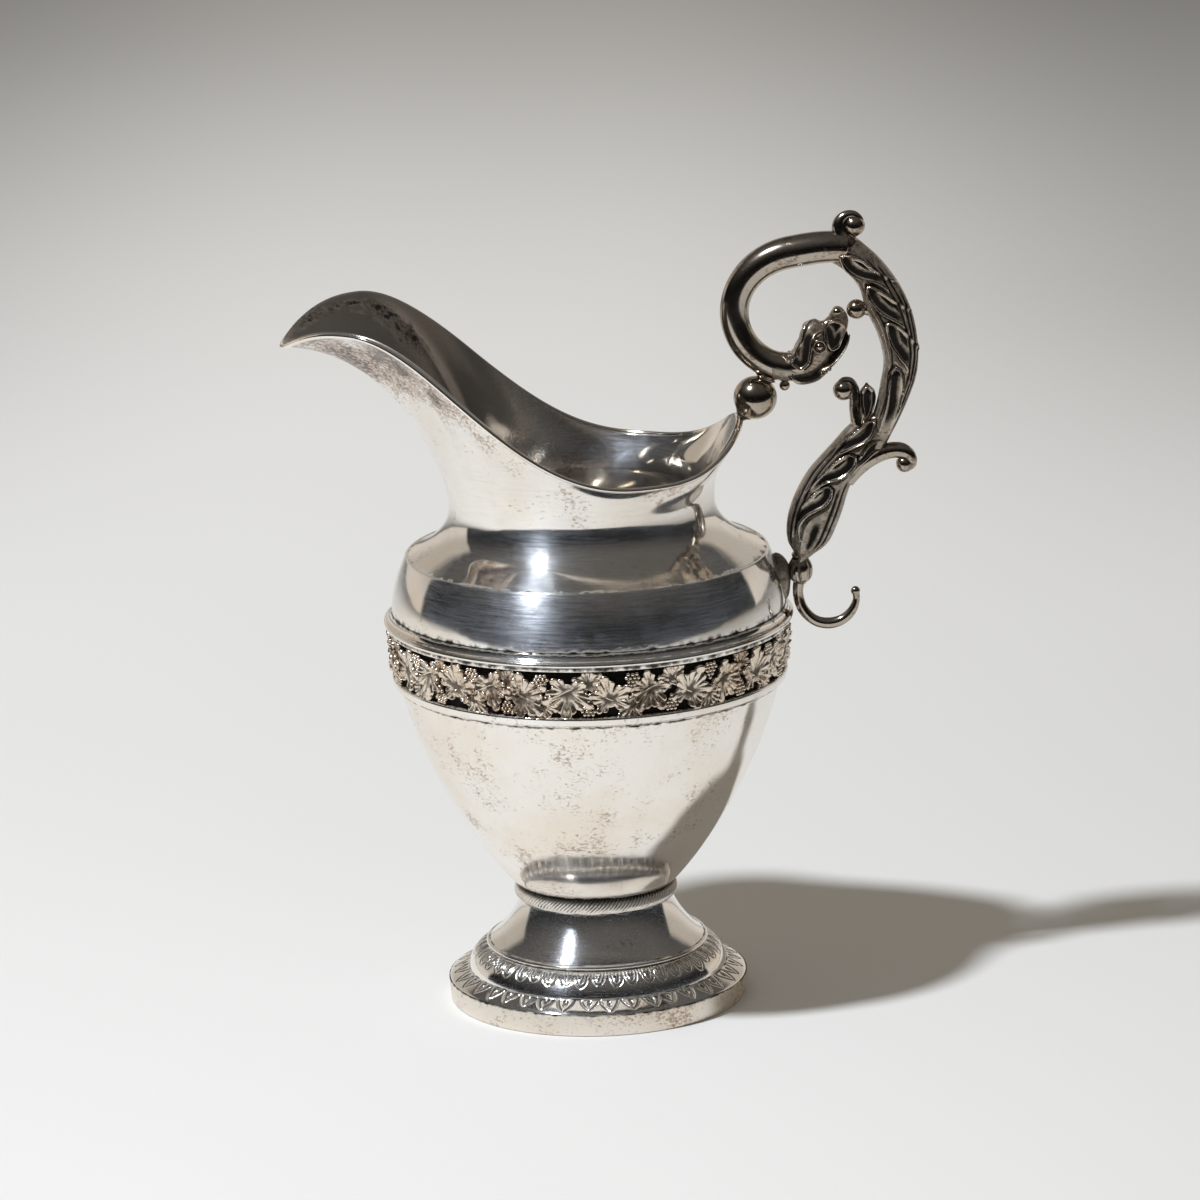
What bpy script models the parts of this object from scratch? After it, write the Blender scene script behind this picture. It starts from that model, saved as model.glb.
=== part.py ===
"""Silver milk jug on a domed foot, with a vine frieze and a serpent handle.

Metres, +Z up. The handle points to +X and the spout to -X. The jug stands on
z = 0 and its outline is centred on the origin, so the axis of the turned body
lies a few millimetres towards the spout.
"""
import math

import bmesh
import bpy
from mathutils import Vector

# Sheet, seats and facets
WALL = 0.0011               # sheet silver of the raised and spun pieces
SEAM = 0.0003               # room left at every soldered seat
TURN_STEPS = 36             # facets round the turned pieces
SMALL_STEPS = 16            # and round the small ones
SHARP_ANGLE = math.radians(35.0)

# Foot, from the top of the stem outwards and from the table upwards
STEM_TOP_RADIUS = 0.0187
STEM_FLARE = 0.0083         # from the top of the stem to its lip
DOME_SWELL = 0.0046         # from the stem's lip to the widest part of the dome
FLANGE_WIDTH = 0.0054       # from the dome to the edge of the foot
PLINTH_HEIGHT = 0.0057
PLINTH_WALL = 0.0018
PLINTH_STEP = 0.0002        # edge of the flange inside the face of the plinth
FLANGE_RISE = 0.0023
DOME_HEIGHT = 0.0055
DOME_LEDGE = 0.0004         # dome showing round the stem's lip
DOME_SEAT = 0.0030          # width of the seat under the stem
STEM_LIP = 0.0010           # height of the bead round the stem's foot
STEM_LIP_PROUD = 0.0003
STEM_HEIGHT = 0.0114
ROPE_WIRE = 0.0018          # radius of the twisted wire over the stem
ROPE_DEPTH = 0.0004         # depth of its grooves
ROPE_STRANDS = 36
ROPE_SIDES = 6

# Bowl and band
BOWL_HEIGHT = 0.0511        # from the seat on the wire to the band
BOWL_TOP_RADIUS = 0.0466
BOWL_BASE_EDGE = 0.0006     # flat base beyond the middle of the wire
BOWL_TURN_OUT = 0.0018      # turned edge between the base and the side
BOWL_TURN_UP = 0.0011
BOWL_BELLY_OUT = 0.0110     # pull of the side at its foot
BOWL_BELLY_UP = 0.0120
BOWL_LIP_IN = 0.0042        # pull of the side below the band
BOWL_LIP_DOWN = 0.0180
BAND_TAPER = 0.0015         # the band leans out this much to its top
LOWER_MOULDING_HEIGHT = 0.0025
LOWER_MOULDING_PROUD = 0.0016
FRIEZE_HEIGHT = 0.0114
FRIEZE_GROUND = 0.0008      # strip that carries the leaves
UPPER_MOULDING_HEIGHT = 0.0040
UPPER_MOULDING_PROUD = 0.0019
MOULDING_FILLET = 0.0010    # plain step between the frieze and the bead
MOULDING_EDGE = 0.0005      # metal left at the moulding's thin edges
BELT_SEAT = 0.0020          # joint of bowl and shoulder above the moulding's foot

# Vine leaves and grapes of the frieze
LEAF_PITCH = 0.0101
LEAF_MARGIN = 0.0005        # bare ground above and below the leaves
LEAF_SHIFT = 0.0006         # leaves stand in turn above and below the middle
LEAF_RAISE = 0.0009
LEAF_EDGE = 0.0005          # height of a leaf's edge over the ground
LEAF_SUNK = 0.0003          # root of a leaf inside the ground
LEAF_TIPS = (0.78, 0.95, 1.0, 0.95, 0.78)
LEAF_NOTCH = 0.58
LEAF_STALK = 0.30
GRAPE_RADIUS = 0.0013
GRAPE_SIDES = 5

# Shoulder, neck, spout and rim
SHOULDER_HEIGHT = 0.0153    # from the belt joint to the crease
SHOULDER_DRAW = 0.0037      # from the belt joint in to the crease
NECK_STEP = 0.0004          # the neck starts inside the crease
NECK_DRAW = 0.01205         # from the crease in to the waist
NECK_RISE = 0.0112          # from the crease up to the waist
COVE_IN = 0.0050            # pull of the cove over the crease
COVE_UP = 0.0020
COVE_DOWN = 0.0065          # pull of the cove under the waist
WAIST_SHIFT = 0.00095       # the waist leans towards the spout
WAIST_LIFT = 0.0095         # upright part of the neck over the waist
SPOUT_THROW = 0.0400        # spout tip beyond the waist
BACK_FLARE = 0.00575        # rim at the handle beyond the waist
RIM_FLARE = 0.00365         # rim at its widest beyond the waist
RIM_LOW = 0.0105            # heights of the rim over the waist
RIM_BACK = 0.0205
RIM_PEAK = 0.0484
SPOUT_TIP = 0.0415
DIP_FROM_BACK = 0.0231      # lowest point of the rim, from the handle side
PEAK_FROM_TIP = 0.0170      # highest point of the rim, from the spout tip
SIDE_FLARE = math.radians(34.0)     # lean of the wall under the rim at the sides
SPOUT_FLARE = math.radians(86.0)    # and along the spout
SIDE_PULL = 0.0070          # how far down the wall keeps that lean
SPOUT_PULL = 0.0270
RIM_SKEW = 0.30             # how far the spout draws the wall forwards
RIM_WIRE = 0.0006
RIM_WIRE_SIDES = 6

# Handle from the rim upwards
BALL_LEAN = math.radians(36.0)      # the ball stands behind the rim
LOOP_LEAN = math.radians(27.5)      # and carries the loop above it
BALL_RADIUS = 0.0053
BALL_COLLAR_RADIUS = 0.0024
BALL_COLLAR_HEIGHT = 0.0006
LOOP_RADIUS = 0.0151        # middle of the serpent's body
LOOP_OVAL = 0.0007          # the coil is longer from side to side
LOOP_TUCK = 0.0010          # and closes a little towards the head
LOOP_TUBE = 0.0035
LOOP_TUBE_SWELL = 0.0005    # thicker at the crown of the loop
LOOP_SPREAD = 0.0033        # the coil opens towards the leaf
LOOP_LONG = math.radians(190.0)
LOOP_CROWN = math.radians(100.0)
LOOP_CLOSE = math.radians(238.0)
LOOP_LEAF_END = math.radians(56.0)
LOOP_HEAD_END = math.radians(268.0)
LOOP_PEARL_RADIUS = 0.00125
LOOP_PEARL_ANGLE = math.radians(258.0)
HANDLE_SIDES = 12
SMALL_SIDES = 8

# Acanthus arms, from the loop down to the shoulder
ARM_SWING = 0.0140          # outermost middle of the arm beyond the loop's end
ARM_DROP = 0.0257           # and below it
JUNCTION_OUT = 0.0194       # join of the two leaves over the collar
JUNCTION_RISE = 0.0305
WAIST_OUT = 0.0066          # middle of the lower leaf over the collar
WAIST_RISE = 0.0163
UPPER_WIDTHS = (0.0035, 0.0040, 0.0049, 0.0044, 0.0034, 0.0029)
UPPER_DEPTHS = (0.0033, 0.0037, 0.0040, 0.0038, 0.0034, 0.0030)
LOWER_WIDTHS = (0.0030, 0.0047, 0.0050, 0.0054, 0.0054, 0.0021)
LOWER_DEPTHS = (0.0030, 0.0036, 0.0039, 0.0038, 0.0032, 0.0021)
LEAF_LOBES = 4              # lobes along each arm
LOBE_RAISE = 0.0009
LOBE_SKEW = 0.45
ARM_STEPS = 24
FINIAL_RADIUS = 0.0033
FINIAL_NECK = 0.0019
FINIAL_STALK = 0.0004
ARM_PEARL_RADIUS = 0.0024
BUD_RADIUS = 0.0026
BUD_STALK = 0.0018
BUD_REACH_OUT = 0.0031
BUD_REACH_UP = 0.0078
SCROLL_RADIUS = 0.0023      # middle of the curl
SCROLL_TUBE = 0.0017
SCROLL_REACH = 0.0044       # middle of the curl from its root
SCROLL_DROP = 0.0030

# Foot of the handle on the shoulder
COLLAR_RADIUS = 0.0027
COLLAR_HEIGHT = 0.0067
COLLAR_DROP = 0.0059        # middle of the collar below the crease
PAD_THICKNESS = 0.0005      # thinnest part of the pad
PAD_WIDTH = 0.0052
HOOK_WIRE = 0.0013
HOOK_RADIUS = 0.0069
HOOK_TIP = 0.0022           # straight end of the hook
HOOK_KNOB = 0.0015

# Serpent's head: upper and lower outline beside its neck, and half its depth
HEAD_SECTIONS = (
    (0.0006, 0.0057, 0.0016, -0.0046, 0.0037),
    (0.0010, 0.0081, 0.0042, -0.0037, 0.0038),
    (0.0020, 0.0100, 0.0065, -0.0022, 0.0040),
    (0.0040, 0.0115, 0.0086, 0.0000, 0.0040),
    (0.0060, 0.0107, 0.0104, 0.0027, 0.0034),
    (0.0079, 0.0115, 0.0115, 0.0053, 0.0028),
    (0.0089, 0.0132, 0.0115, 0.0083, 0.0022),
    (0.0100, 0.0143, 0.0112, 0.0116, 0.0012),
)
MOUTH_CORNER = (0.0072, 0.0020)
MOUTH_UPPER = (0.0118, 0.0086)
MOUTH_LOWER = (0.0132, 0.0075)

# Radii and levels that follow from the sizes above
STEM_RADIUS = STEM_TOP_RADIUS + STEM_FLARE
DOME_RADIUS = STEM_RADIUS + DOME_SWELL
FOOT_RADIUS = DOME_RADIUS + FLANGE_WIDTH
ROPE_RADIUS = STEM_TOP_RADIUS - 0.5 * WALL
DOME_BASE_Z = PLINTH_HEIGHT + FLANGE_RISE
DOME_TOP_Z = DOME_BASE_Z + DOME_HEIGHT
STEM_BASE_Z = DOME_TOP_Z + SEAM
STEM_TOP_Z = STEM_BASE_Z + STEM_HEIGHT
ROPE_Z = STEM_TOP_Z + SEAM + ROPE_WIRE
BOWL_BASE_Z = ROPE_Z + ROPE_WIRE + SEAM
BOWL_BASE_RADIUS = ROPE_RADIUS + BOWL_BASE_EDGE
BAND_Z = BOWL_BASE_Z + BOWL_HEIGHT
FRIEZE_Z = BAND_Z + LOWER_MOULDING_HEIGHT + SEAM
UPPER_MOULDING_Z = FRIEZE_Z + FRIEZE_HEIGHT + SEAM
BELT_Z = UPPER_MOULDING_Z + BELT_SEAT
BELT_RADIUS = BOWL_TOP_RADIUS + BAND_TAPER
BEAD_RADIUS = BELT_RADIUS + UPPER_MOULDING_PROUD
SHOULDER_Z = BELT_Z + SEAM
CREASE_Z = SHOULDER_Z + SHOULDER_HEIGHT
CREASE_RADIUS = BELT_RADIUS - SHOULDER_DRAW
NECK_Z = CREASE_Z + SEAM
NECK_RADIUS = CREASE_RADIUS - NECK_STEP
WAIST_Z = NECK_Z + NECK_RISE
WAIST_RADIUS = CREASE_RADIUS - NECK_DRAW
SPOUT_X = -(WAIST_RADIUS + SPOUT_THROW)
BACK_X = WAIST_RADIUS + BACK_FLARE
RIM_CENTRE_X = 0.5 * (SPOUT_X + BACK_X)
RIM_HALF_LENGTH = 0.5 * (BACK_X - SPOUT_X)
RIM_HALF_WIDTH = WAIST_RADIUS + RIM_FLARE
LEAF_SIZE = 0.5 * FRIEZE_HEIGHT - LEAF_SHIFT - LEAF_MARGIN

DOWN = Vector((0.0, -1.0))
INWARD = Vector((-1.0, 0.0))
UP = Vector((0.0, 1.0))


def clear_scene():
    """Start from an empty scene."""
    for item in list(bpy.data.objects):
        bpy.data.objects.remove(item, do_unlink=True)


def silver(name, colour, roughness):
    """Polished or tarnished silver as a metal of its own colour."""
    finish = bpy.data.materials.new(name)
    finish.use_nodes = True
    shader = finish.node_tree.nodes["Principled BSDF"]
    shader.inputs["Base Color"].default_value = (*colour, 1.0)
    shader.inputs["Roughness"].default_value = roughness
    shader.inputs["Metallic"].default_value = 1.0
    finish.diffuse_color = (*colour, 1.0)
    return finish


def polished(name):
    return silver(name + "_silver", (0.80, 0.77, 0.72), 0.22)


def tarnished(name):
    return silver(name + "_dark_silver", (0.46, 0.43, 0.40), 0.30)


def add_piece(name, bm, finish):
    """Turn a closed bmesh into a named object that hangs on the body's axis."""
    bmesh.ops.recalc_face_normals(bm, faces=bm.faces)
    mesh = bpy.data.meshes.new(name)
    bm.to_mesh(mesh)
    bm.free()
    mesh.shade_smooth()
    mesh.set_sharp_from_angle(angle=SHARP_ANGLE)
    mesh.materials.append(finish)
    piece = bpy.data.objects.new(name, mesh)
    bpy.context.collection.objects.link(piece)
    piece.parent = bpy.data.objects["body_axis"]
    return piece


def bezier(start, pull_start, pull_end, end, steps):
    """Points along a cubic curve, both ends included."""
    points = []
    for i in range(steps + 1):
        t = i / steps
        s = 1.0 - t
        point = start * s ** 3 + pull_start * (3 * s * s * t)
        points.append(point + pull_end * (3 * s * t * t) + end * t ** 3)
    return points


def spread(values, along):
    """Smooth value at a place from 0 to 1 along evenly spaced values."""
    place = along * (len(values) - 1)
    i = min(int(place), len(values) - 2)
    t = place - i
    before = values[max(i - 1, 0)]
    after = values[min(i + 2, len(values) - 1)]
    slope_a = 0.5 * (values[i + 1] - before)
    slope_b = 0.5 * (after - values[i])
    rise = values[i + 1] - values[i]
    bend = (3 * rise - 2 * slope_a - slope_b) * t * t
    return values[i] + slope_a * t + bend + (slope_a + slope_b - 2 * rise) * t ** 3


def sheet(line, first, last):
    """Closed outline of a sheet whose outer face is the line, read upwards."""
    inner = []
    for i, point in enumerate(line):
        along = line[min(i + 1, len(line) - 1)] - line[max(i - 1, 0)]
        along.normalize()
        inner.append(point + Vector((-along.y, along.x)) * WALL)
    inner[0] = line[0] + first * WALL
    inner[-1] = line[-1] + last * WALL
    return line + inner[::-1]


def turned(name, outline, finish, closed=True, facets=TURN_STEPS):
    """Spin an outline of (radius, height) points round the upright axis."""
    bm = bmesh.new()
    ring = [bm.verts.new((point[0], 0.0, point[1])) for point in outline]
    follow = ring[1:] + ring[:1] if closed else ring[1:]
    edges = [bm.edges.new(pair) for pair in zip(ring, follow)]
    bmesh.ops.spin(bm, geom=ring + edges, cent=(0, 0, 0), axis=(0, 0, 1),
                   angle=math.tau, steps=facets, use_merge=True)
    bmesh.ops.remove_doubles(bm, verts=bm.verts, dist=1e-6)
    return add_piece(name, bm, finish)


def lofted(name, rings, finish, cyclic=False):
    """Skin a row of rings, capped at both ends or joined into a loop."""
    bm = bmesh.new()
    loops = [[bm.verts.new(point) for point in ring] for ring in rings]
    follow = loops[1:] + loops[:1] if cyclic else loops[1:]
    for low, high in zip(loops, follow):
        for i, corner in enumerate(low):
            j = (i + 1) % len(low)
            bm.faces.new((corner, low[j], high[j], high[i]))
    if not cyclic:
        bm.faces.new(loops[0][::-1])
        bm.faces.new(loops[-1])
    return add_piece(name, bm, finish)


def ball(name, centre, radius, finish):
    """Small round pearl with its centre in the handle's plane."""
    bm = bmesh.new()
    bmesh.ops.create_uvsphere(bm, u_segments=SMALL_SIDES, v_segments=6, radius=radius)
    piece = add_piece(name, bm, finish)
    piece.location = (centre.x, 0.0, centre.y)
    return piece


def tangents(path):
    """Unit directions along a path of plane points."""
    found = []
    for i in range(len(path)):
        along = path[min(i + 1, len(path) - 1)] - path[max(i - 1, 0)]
        found.append(along.normalized())
    return found


def left_of(direction):
    return Vector((-direction.y, direction.x))


def plane_rings(path, widths, depths, sides=HANDLE_SIDES, ends=(None, None)):
    """Oval rings square to a path in the handle's plane; the end directions may be given."""
    rings = []
    runs = tangents(path)
    runs[0] = ends[0] or runs[0]
    runs[-1] = ends[1] or runs[-1]
    for point, along, width, depth in zip(path, runs, widths, depths):
        side = left_of(along)
        ring = []
        for k in range(sides):
            turn = math.tau * k / sides
            flat = point + side * (width * math.cos(turn))
            ring.append(Vector((flat.x, depth * math.sin(turn), flat.y)))
        rings.append(ring)
    return rings


def shoulder_line(steps):
    """Outer outline of the shoulder, from the belt joint up to the crease."""
    return bezier(Vector((BELT_RADIUS, SHOULDER_Z)),
                  Vector((BELT_RADIUS - 0.14 * SHOULDER_DRAW, SHOULDER_Z + 0.34 * SHOULDER_HEIGHT)),
                  Vector((CREASE_RADIUS + 0.52 * SHOULDER_DRAW, CREASE_Z - 0.34 * SHOULDER_HEIGHT)),
                  Vector((CREASE_RADIUS, CREASE_Z)), steps)


def shoulder_radius(height):
    """Radius of the shoulder's outer face at a height."""
    line = shoulder_line(60)
    nearest = min(line, key=lambda point: abs(point.y - height))
    return nearest.x


def band_seat(height):
    """Radius of the bowl's outer face behind the band at a height."""
    return BOWL_TOP_RADIUS + BAND_TAPER * (height - BAND_Z) / (BELT_Z - BAND_Z)


def build_foot():
    """Plinth wall, domed flange, hollow stem and the twisted wire on it."""
    wall_top = PLINTH_HEIGHT - WALL - SEAM
    inside = FOOT_RADIUS - PLINTH_WALL
    turned("plinth_wall", [(inside, 0.0), (FOOT_RADIUS, 0.0), (FOOT_RADIUS, wall_top),
                           (inside, wall_top)], polished("plinth_wall"))

    edge = Vector((FOOT_RADIUS - PLINTH_STEP, PLINTH_HEIGHT))
    foot_of_dome = Vector((DOME_RADIUS, DOME_BASE_Z))
    crown = Vector((STEM_RADIUS + DOME_LEDGE, DOME_TOP_Z))
    dome = bezier(foot_of_dome, foot_of_dome + UP * (0.6 * DOME_HEIGHT),
                  crown - INWARD * (0.6 * DOME_SWELL), crown, 4)
    seat = crown + INWARD * DOME_SEAT
    turned("foot_dome", sheet([edge] + dome + [seat], DOWN, DOWN), polished("foot_dome"))

    lip = [Vector((STEM_RADIUS, STEM_BASE_Z)),
           Vector((STEM_RADIUS + STEM_LIP_PROUD, STEM_BASE_Z + 0.5 * STEM_LIP)),
           Vector((STEM_RADIUS - STEM_LIP_PROUD, STEM_BASE_Z + STEM_LIP))]
    top = Vector((STEM_TOP_RADIUS, STEM_TOP_Z))
    rise = STEM_HEIGHT - STEM_LIP
    hollow = bezier(lip[-1], lip[-1] + Vector((-0.30 * STEM_FLARE, 0.17 * rise)),
                    top + Vector((0.11 * STEM_FLARE, -0.40 * rise)), top, 5)
    turned("foot_stem", sheet(lip[:-1] + hollow, INWARD, INWARD), polished("foot_stem"))
    build_rope_ring()


def build_rope_ring():
    """Twisted wire: ridges and grooves run slantwise round a ring."""
    bm = bmesh.new()
    steps = 2 * ROPE_STRANDS
    grid = []
    for i in range(steps):
        turn = math.tau * i / steps
        row = []
        for k in range(ROPE_SIDES):
            round_wire = math.tau * k / ROPE_SIDES
            radius = ROPE_WIRE - ROPE_DEPTH * ((i + k) % 2)
            out = ROPE_RADIUS + radius * math.cos(round_wire)
            height = ROPE_Z + radius * math.sin(round_wire)
            row.append(bm.verts.new((out * math.cos(turn), out * math.sin(turn), height)))
        grid.append(row)
    for i, row in enumerate(grid):
        after = grid[(i + 1) % steps]
        for k, corner in enumerate(row):
            j = (k + 1) % ROPE_SIDES
            bm.faces.new((corner, after[k], after[j]))
            bm.faces.new((corner, after[j], row[j]))
    add_piece("rope_ring", bm, polished("rope_ring"))


def build_bowl():
    """Raised bowl with a flat base; its top stands as a plain wall behind the band."""
    base = Vector((BOWL_BASE_RADIUS, BOWL_BASE_Z))
    side = base + Vector((BOWL_TURN_OUT, BOWL_TURN_UP))
    top = Vector((BOWL_TOP_RADIUS, BAND_Z))
    belly = bezier(side, side + Vector((BOWL_BELLY_OUT, BOWL_BELLY_UP)),
                   top - Vector((BOWL_LIP_IN, BOWL_LIP_DOWN)), top, 7)
    line = [Vector((0.0, BOWL_BASE_Z)), base] + belly + [Vector((BELT_RADIUS, BELT_Z))]
    turned("bowl", sheet(line, UP, INWARD), polished("bowl"), closed=False)


def build_mouldings():
    """Fillet under the frieze, and fillet, bead and hollow above it."""
    low = BAND_Z
    high = BAND_Z + LOWER_MOULDING_HEIGHT
    face = BOWL_TOP_RADIUS + LOWER_MOULDING_PROUD
    turned("lower_band_moulding", [
        (band_seat(low) + SEAM, low), (face, low + MOULDING_EDGE),
        (face + 0.5 * MOULDING_EDGE, 0.5 * (low + high)), (face, high),
        (band_seat(high) + SEAM, high)], polished("lower_band_moulding"))

    low = UPPER_MOULDING_Z
    high = low + UPPER_MOULDING_HEIGHT
    fillet = low + MOULDING_FILLET
    bead = 0.5 * (BEAD_RADIUS - BELT_RADIUS - SEAM)
    inner_top = shoulder_radius(high) + SEAM
    turned("upper_band_moulding", [
        (band_seat(low) + SEAM, low), (BEAD_RADIUS - 0.45 * bead, low),
        (BEAD_RADIUS - 0.45 * bead, fillet), (BEAD_RADIUS, fillet + 0.25 * MOULDING_FILLET),
        (BEAD_RADIUS, fillet + MOULDING_FILLET), (BEAD_RADIUS - 0.6 * bead, fillet + 1.4 * MOULDING_FILLET),
        (inner_top + MOULDING_EDGE, high), (inner_top, high),
        (BELT_RADIUS + SEAM, BELT_Z)], polished("upper_band_moulding"))


def leaf_outline():
    """Five-lobed vine leaf about its middle, its long lobe along +v."""
    points = []
    for i, reach in enumerate(LEAF_TIPS):
        turn = math.radians(-124.0 + 62.0 * i)
        points.append((turn, reach * LEAF_SIZE))
        if i < len(LEAF_TIPS) - 1:
            points.append((turn + math.radians(31.0), LEAF_NOTCH * LEAF_SIZE))
    points.append((math.pi, LEAF_STALK * LEAF_SIZE))
    return [Vector((reach * math.sin(turn), reach * math.cos(turn))) for turn, reach in points]


def raised_patch(bm, outline, centre, angle, crest):
    """Low boss of an outline, set on the frieze's ground and rooted in it."""
    ground = SEAM + FRIEZE_GROUND

    def place(point, height):
        level = centre + point.y
        radius = band_seat(level) + ground + height
        turn = angle + point.x / BELT_RADIUS
        return bm.verts.new((radius * math.cos(turn), radius * math.sin(turn), level))

    root = [place(point, -LEAF_SUNK) for point in outline]
    edge = [place(point, LEAF_EDGE) for point in outline]
    crown = place(Vector((0.0, 0.0)), crest)
    for i in range(len(outline)):
        j = (i + 1) % len(outline)
        bm.faces.new((root[i], root[j], edge[j], edge[i]))
        bm.faces.new((edge[i], edge[j], crown))
    bm.faces.new(root[::-1])


def build_frieze():
    """Strip round the bowl with vine leaves in turn high and low, and grapes between."""
    low = FRIEZE_Z
    high = FRIEZE_Z + FRIEZE_HEIGHT
    middle = 0.5 * (low + high)
    ground = SEAM + FRIEZE_GROUND
    strip = turned("vine_frieze", [
        (band_seat(low) + SEAM, low), (band_seat(low) + ground, low),
        (band_seat(high) + ground, high), (band_seat(high) + SEAM, high)],
        tarnished("vine_frieze"))

    bm = bmesh.new()
    pairs = int(math.tau * BELT_RADIUS / (2.0 * LEAF_PITCH))
    leaf = leaf_outline()
    grape = [Vector((math.cos(math.tau * k / GRAPE_SIDES), math.sin(math.tau * k / GRAPE_SIDES)))
             * GRAPE_RADIUS for k in range(GRAPE_SIDES)]
    for i in range(2 * pairs):
        way = 1.0 if i % 2 == 0 else -1.0
        angle = math.tau * i / (2 * pairs)
        turned_leaf = [point * way for point in leaf]
        raised_patch(bm, turned_leaf, middle + way * LEAF_SHIFT, angle, LEAF_RAISE)
        between = angle + math.pi / (2 * pairs)
        grape_level = middle + way * (0.5 * FRIEZE_HEIGHT - LEAF_MARGIN - GRAPE_RADIUS)
        raised_patch(bm, grape, grape_level, between, LEAF_RAISE)
    leaves = add_piece("frieze_leaves", bm, strip.data.materials[0])
    leaves.hide_render = True
    leaves.display_type = "WIRE"
    fuse = strip.modifiers.new("leaves", "BOOLEAN")
    fuse.operation = "UNION"
    fuse.solver = "EXACT"
    fuse.object = leaves


def rim_point(angle):
    """Middle of the rim wire; angle 0 is at the handle and pi at the spout."""
    front = 0.5 * (1.0 - math.cos(angle))
    x = RIM_CENTRE_X + RIM_HALF_LENGTH * math.cos(angle)
    across = math.sin(angle)
    y = RIM_HALF_WIDTH * math.copysign(abs(across) ** (1.24 - 0.18 * front), across)
    dip = BACK_X - DIP_FROM_BACK
    peak = SPOUT_X + PEAK_FROM_TIP
    if x > dip:
        rise = RIM_LOW + (RIM_BACK - RIM_LOW) * ((x - dip) / DIP_FROM_BACK) ** 3.2
    elif x > peak:
        t = ((dip - x) / (dip - peak)) ** 1.25
        rise = RIM_LOW + (RIM_PEAK - RIM_LOW) * (3.0 * t * t - 2.0 * t ** 3)
    else:
        rise = RIM_PEAK - (RIM_PEAK - SPOUT_TIP) * min((peak - x) / PEAK_FROM_TIP, 1.0) ** 2.4
    return Vector((x, y, WAIST_Z + rise))


def rim_place(angle):
    """Place on the rim over an angle at the waist; the sides rise almost straight."""
    return angle - RIM_SKEW * math.sin(angle)


def rim_direction(angle):
    """Unit direction along the rim."""
    nudge = math.radians(0.5)
    return (rim_point(angle + nudge) - rim_point(angle - nudge)).normalized()


def neck_curve(angle):
    """Outer outline of the neck at one angle, from the crease to under the rim wire."""
    out = Vector((math.cos(angle), math.sin(angle), 0.0))
    front = 0.5 * (1.0 - math.cos(angle))
    crease = out * NECK_RADIUS + Vector((0.0, 0.0, NECK_Z))
    waist = out * WAIST_RADIUS + Vector((-WAIST_SHIFT, 0.0, WAIST_Z))
    cove = bezier(crease, crease - out * COVE_IN + Vector((0.0, 0.0, COVE_UP)),
                  waist - Vector((0.0, 0.0, COVE_DOWN)), waist, 3)
    rim_angle = rim_place(angle)
    rim = rim_point(rim_angle)
    run = rim_direction(rim_angle)
    aside = run.cross(Vector((0.0, 0.0, 1.0))).normalized()
    flare = SIDE_FLARE + (SPOUT_FLARE - SIDE_FLARE) * front ** 4
    rise = aside.cross(run) * math.cos(flare) + aside * math.sin(flare)
    lip = rim - rise * (RIM_WIRE + SEAM)
    shift = rim - waist
    shift.z = 0.0
    pull = rise * (SIDE_PULL + (SPOUT_PULL - SIDE_PULL) * front ** 6) + run * (0.6 * shift.dot(run))
    lift = out * (0.03 * SPOUT_THROW * front) + Vector((0.0, 0.0, WAIST_LIFT))
    wall = bezier(waist, waist + lift, rim - pull, lip, 7)
    return cove[:-1] + wall


def build_neck():
    """Neck and spout in one sheet, lofted from the round crease to the helmet rim."""
    turns = [math.tau * k / TURN_STEPS for k in range(TURN_STEPS)]
    nudge = math.radians(0.5)
    outer = [neck_curve(turn) for turn in turns]
    before = [neck_curve(turn - nudge) for turn in turns]
    after = [neck_curve(turn + nudge) for turn in turns]
    count = len(outer[0])
    skin = []
    lining = []
    for i in range(count):
        skin_ring = []
        lining_ring = []
        for k, turn in enumerate(turns):
            point = outer[k][i]
            up = outer[k][min(i + 1, count - 1)] - outer[k][max(i - 1, 0)]
            normal = (after[k][i] - before[k][i]).cross(up).normalized()
            if i == 0:
                normal = Vector((math.cos(turn), math.sin(turn), 0.0))
            skin_ring.append(point)
            lining_ring.append(point - normal * WALL)
        skin.append(skin_ring)
        lining.append(lining_ring)
    lofted("neck_spout", skin + lining[::-1], polished("neck_spout"), cyclic=True)

    rings = []
    for place in [rim_place(turn) for turn in turns]:
        along = rim_direction(place)
        side = along.cross(Vector((0.0, 0.0, 1.0))).normalized()
        up = side.cross(along)
        ring = []
        for k in range(RIM_WIRE_SIDES):
            roll = math.tau * k / RIM_WIRE_SIDES
            ring.append(rim_point(place) + (side * math.cos(roll) + up * math.sin(roll)) * RIM_WIRE)
        rings.append(ring)
    lofted("rim_wire", rings, polished("rim_wire"), cyclic=True)


def loop_tube(angle):
    """Radius of the serpent's body, thickest over the crown of the loop."""
    return LOOP_TUBE + LOOP_TUBE_SWELL * max(math.sin(angle), 0.0) ** 2


def ball_centre():
    """Middle of the ball, which rests on the rim wire behind the neck."""
    back = rim_point(0.0)
    reach = RIM_WIRE + SEAM + BALL_RADIUS
    return Vector((back.x + reach * math.sin(BALL_LEAN), back.z + reach * math.cos(BALL_LEAN)))


def ball_top():
    """Height of the ball's collar over the middle of the ball."""
    return math.sqrt(BALL_RADIUS ** 2 - BALL_COLLAR_RADIUS ** 2) + BALL_COLLAR_HEIGHT


def loop_centre():
    """Middle of the serpent's loop, carried on the ball's collar."""
    contact = math.radians(270.0) - LOOP_LEAN
    coil = LOOP_RADIUS + LOOP_OVAL * math.cos(2.0 * (contact - LOOP_LONG))
    reach = ball_top() + SEAM + loop_tube(contact) + coil
    return ball_centre() + Vector((math.sin(LOOP_LEAN), math.cos(LOOP_LEAN))) * reach


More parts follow.
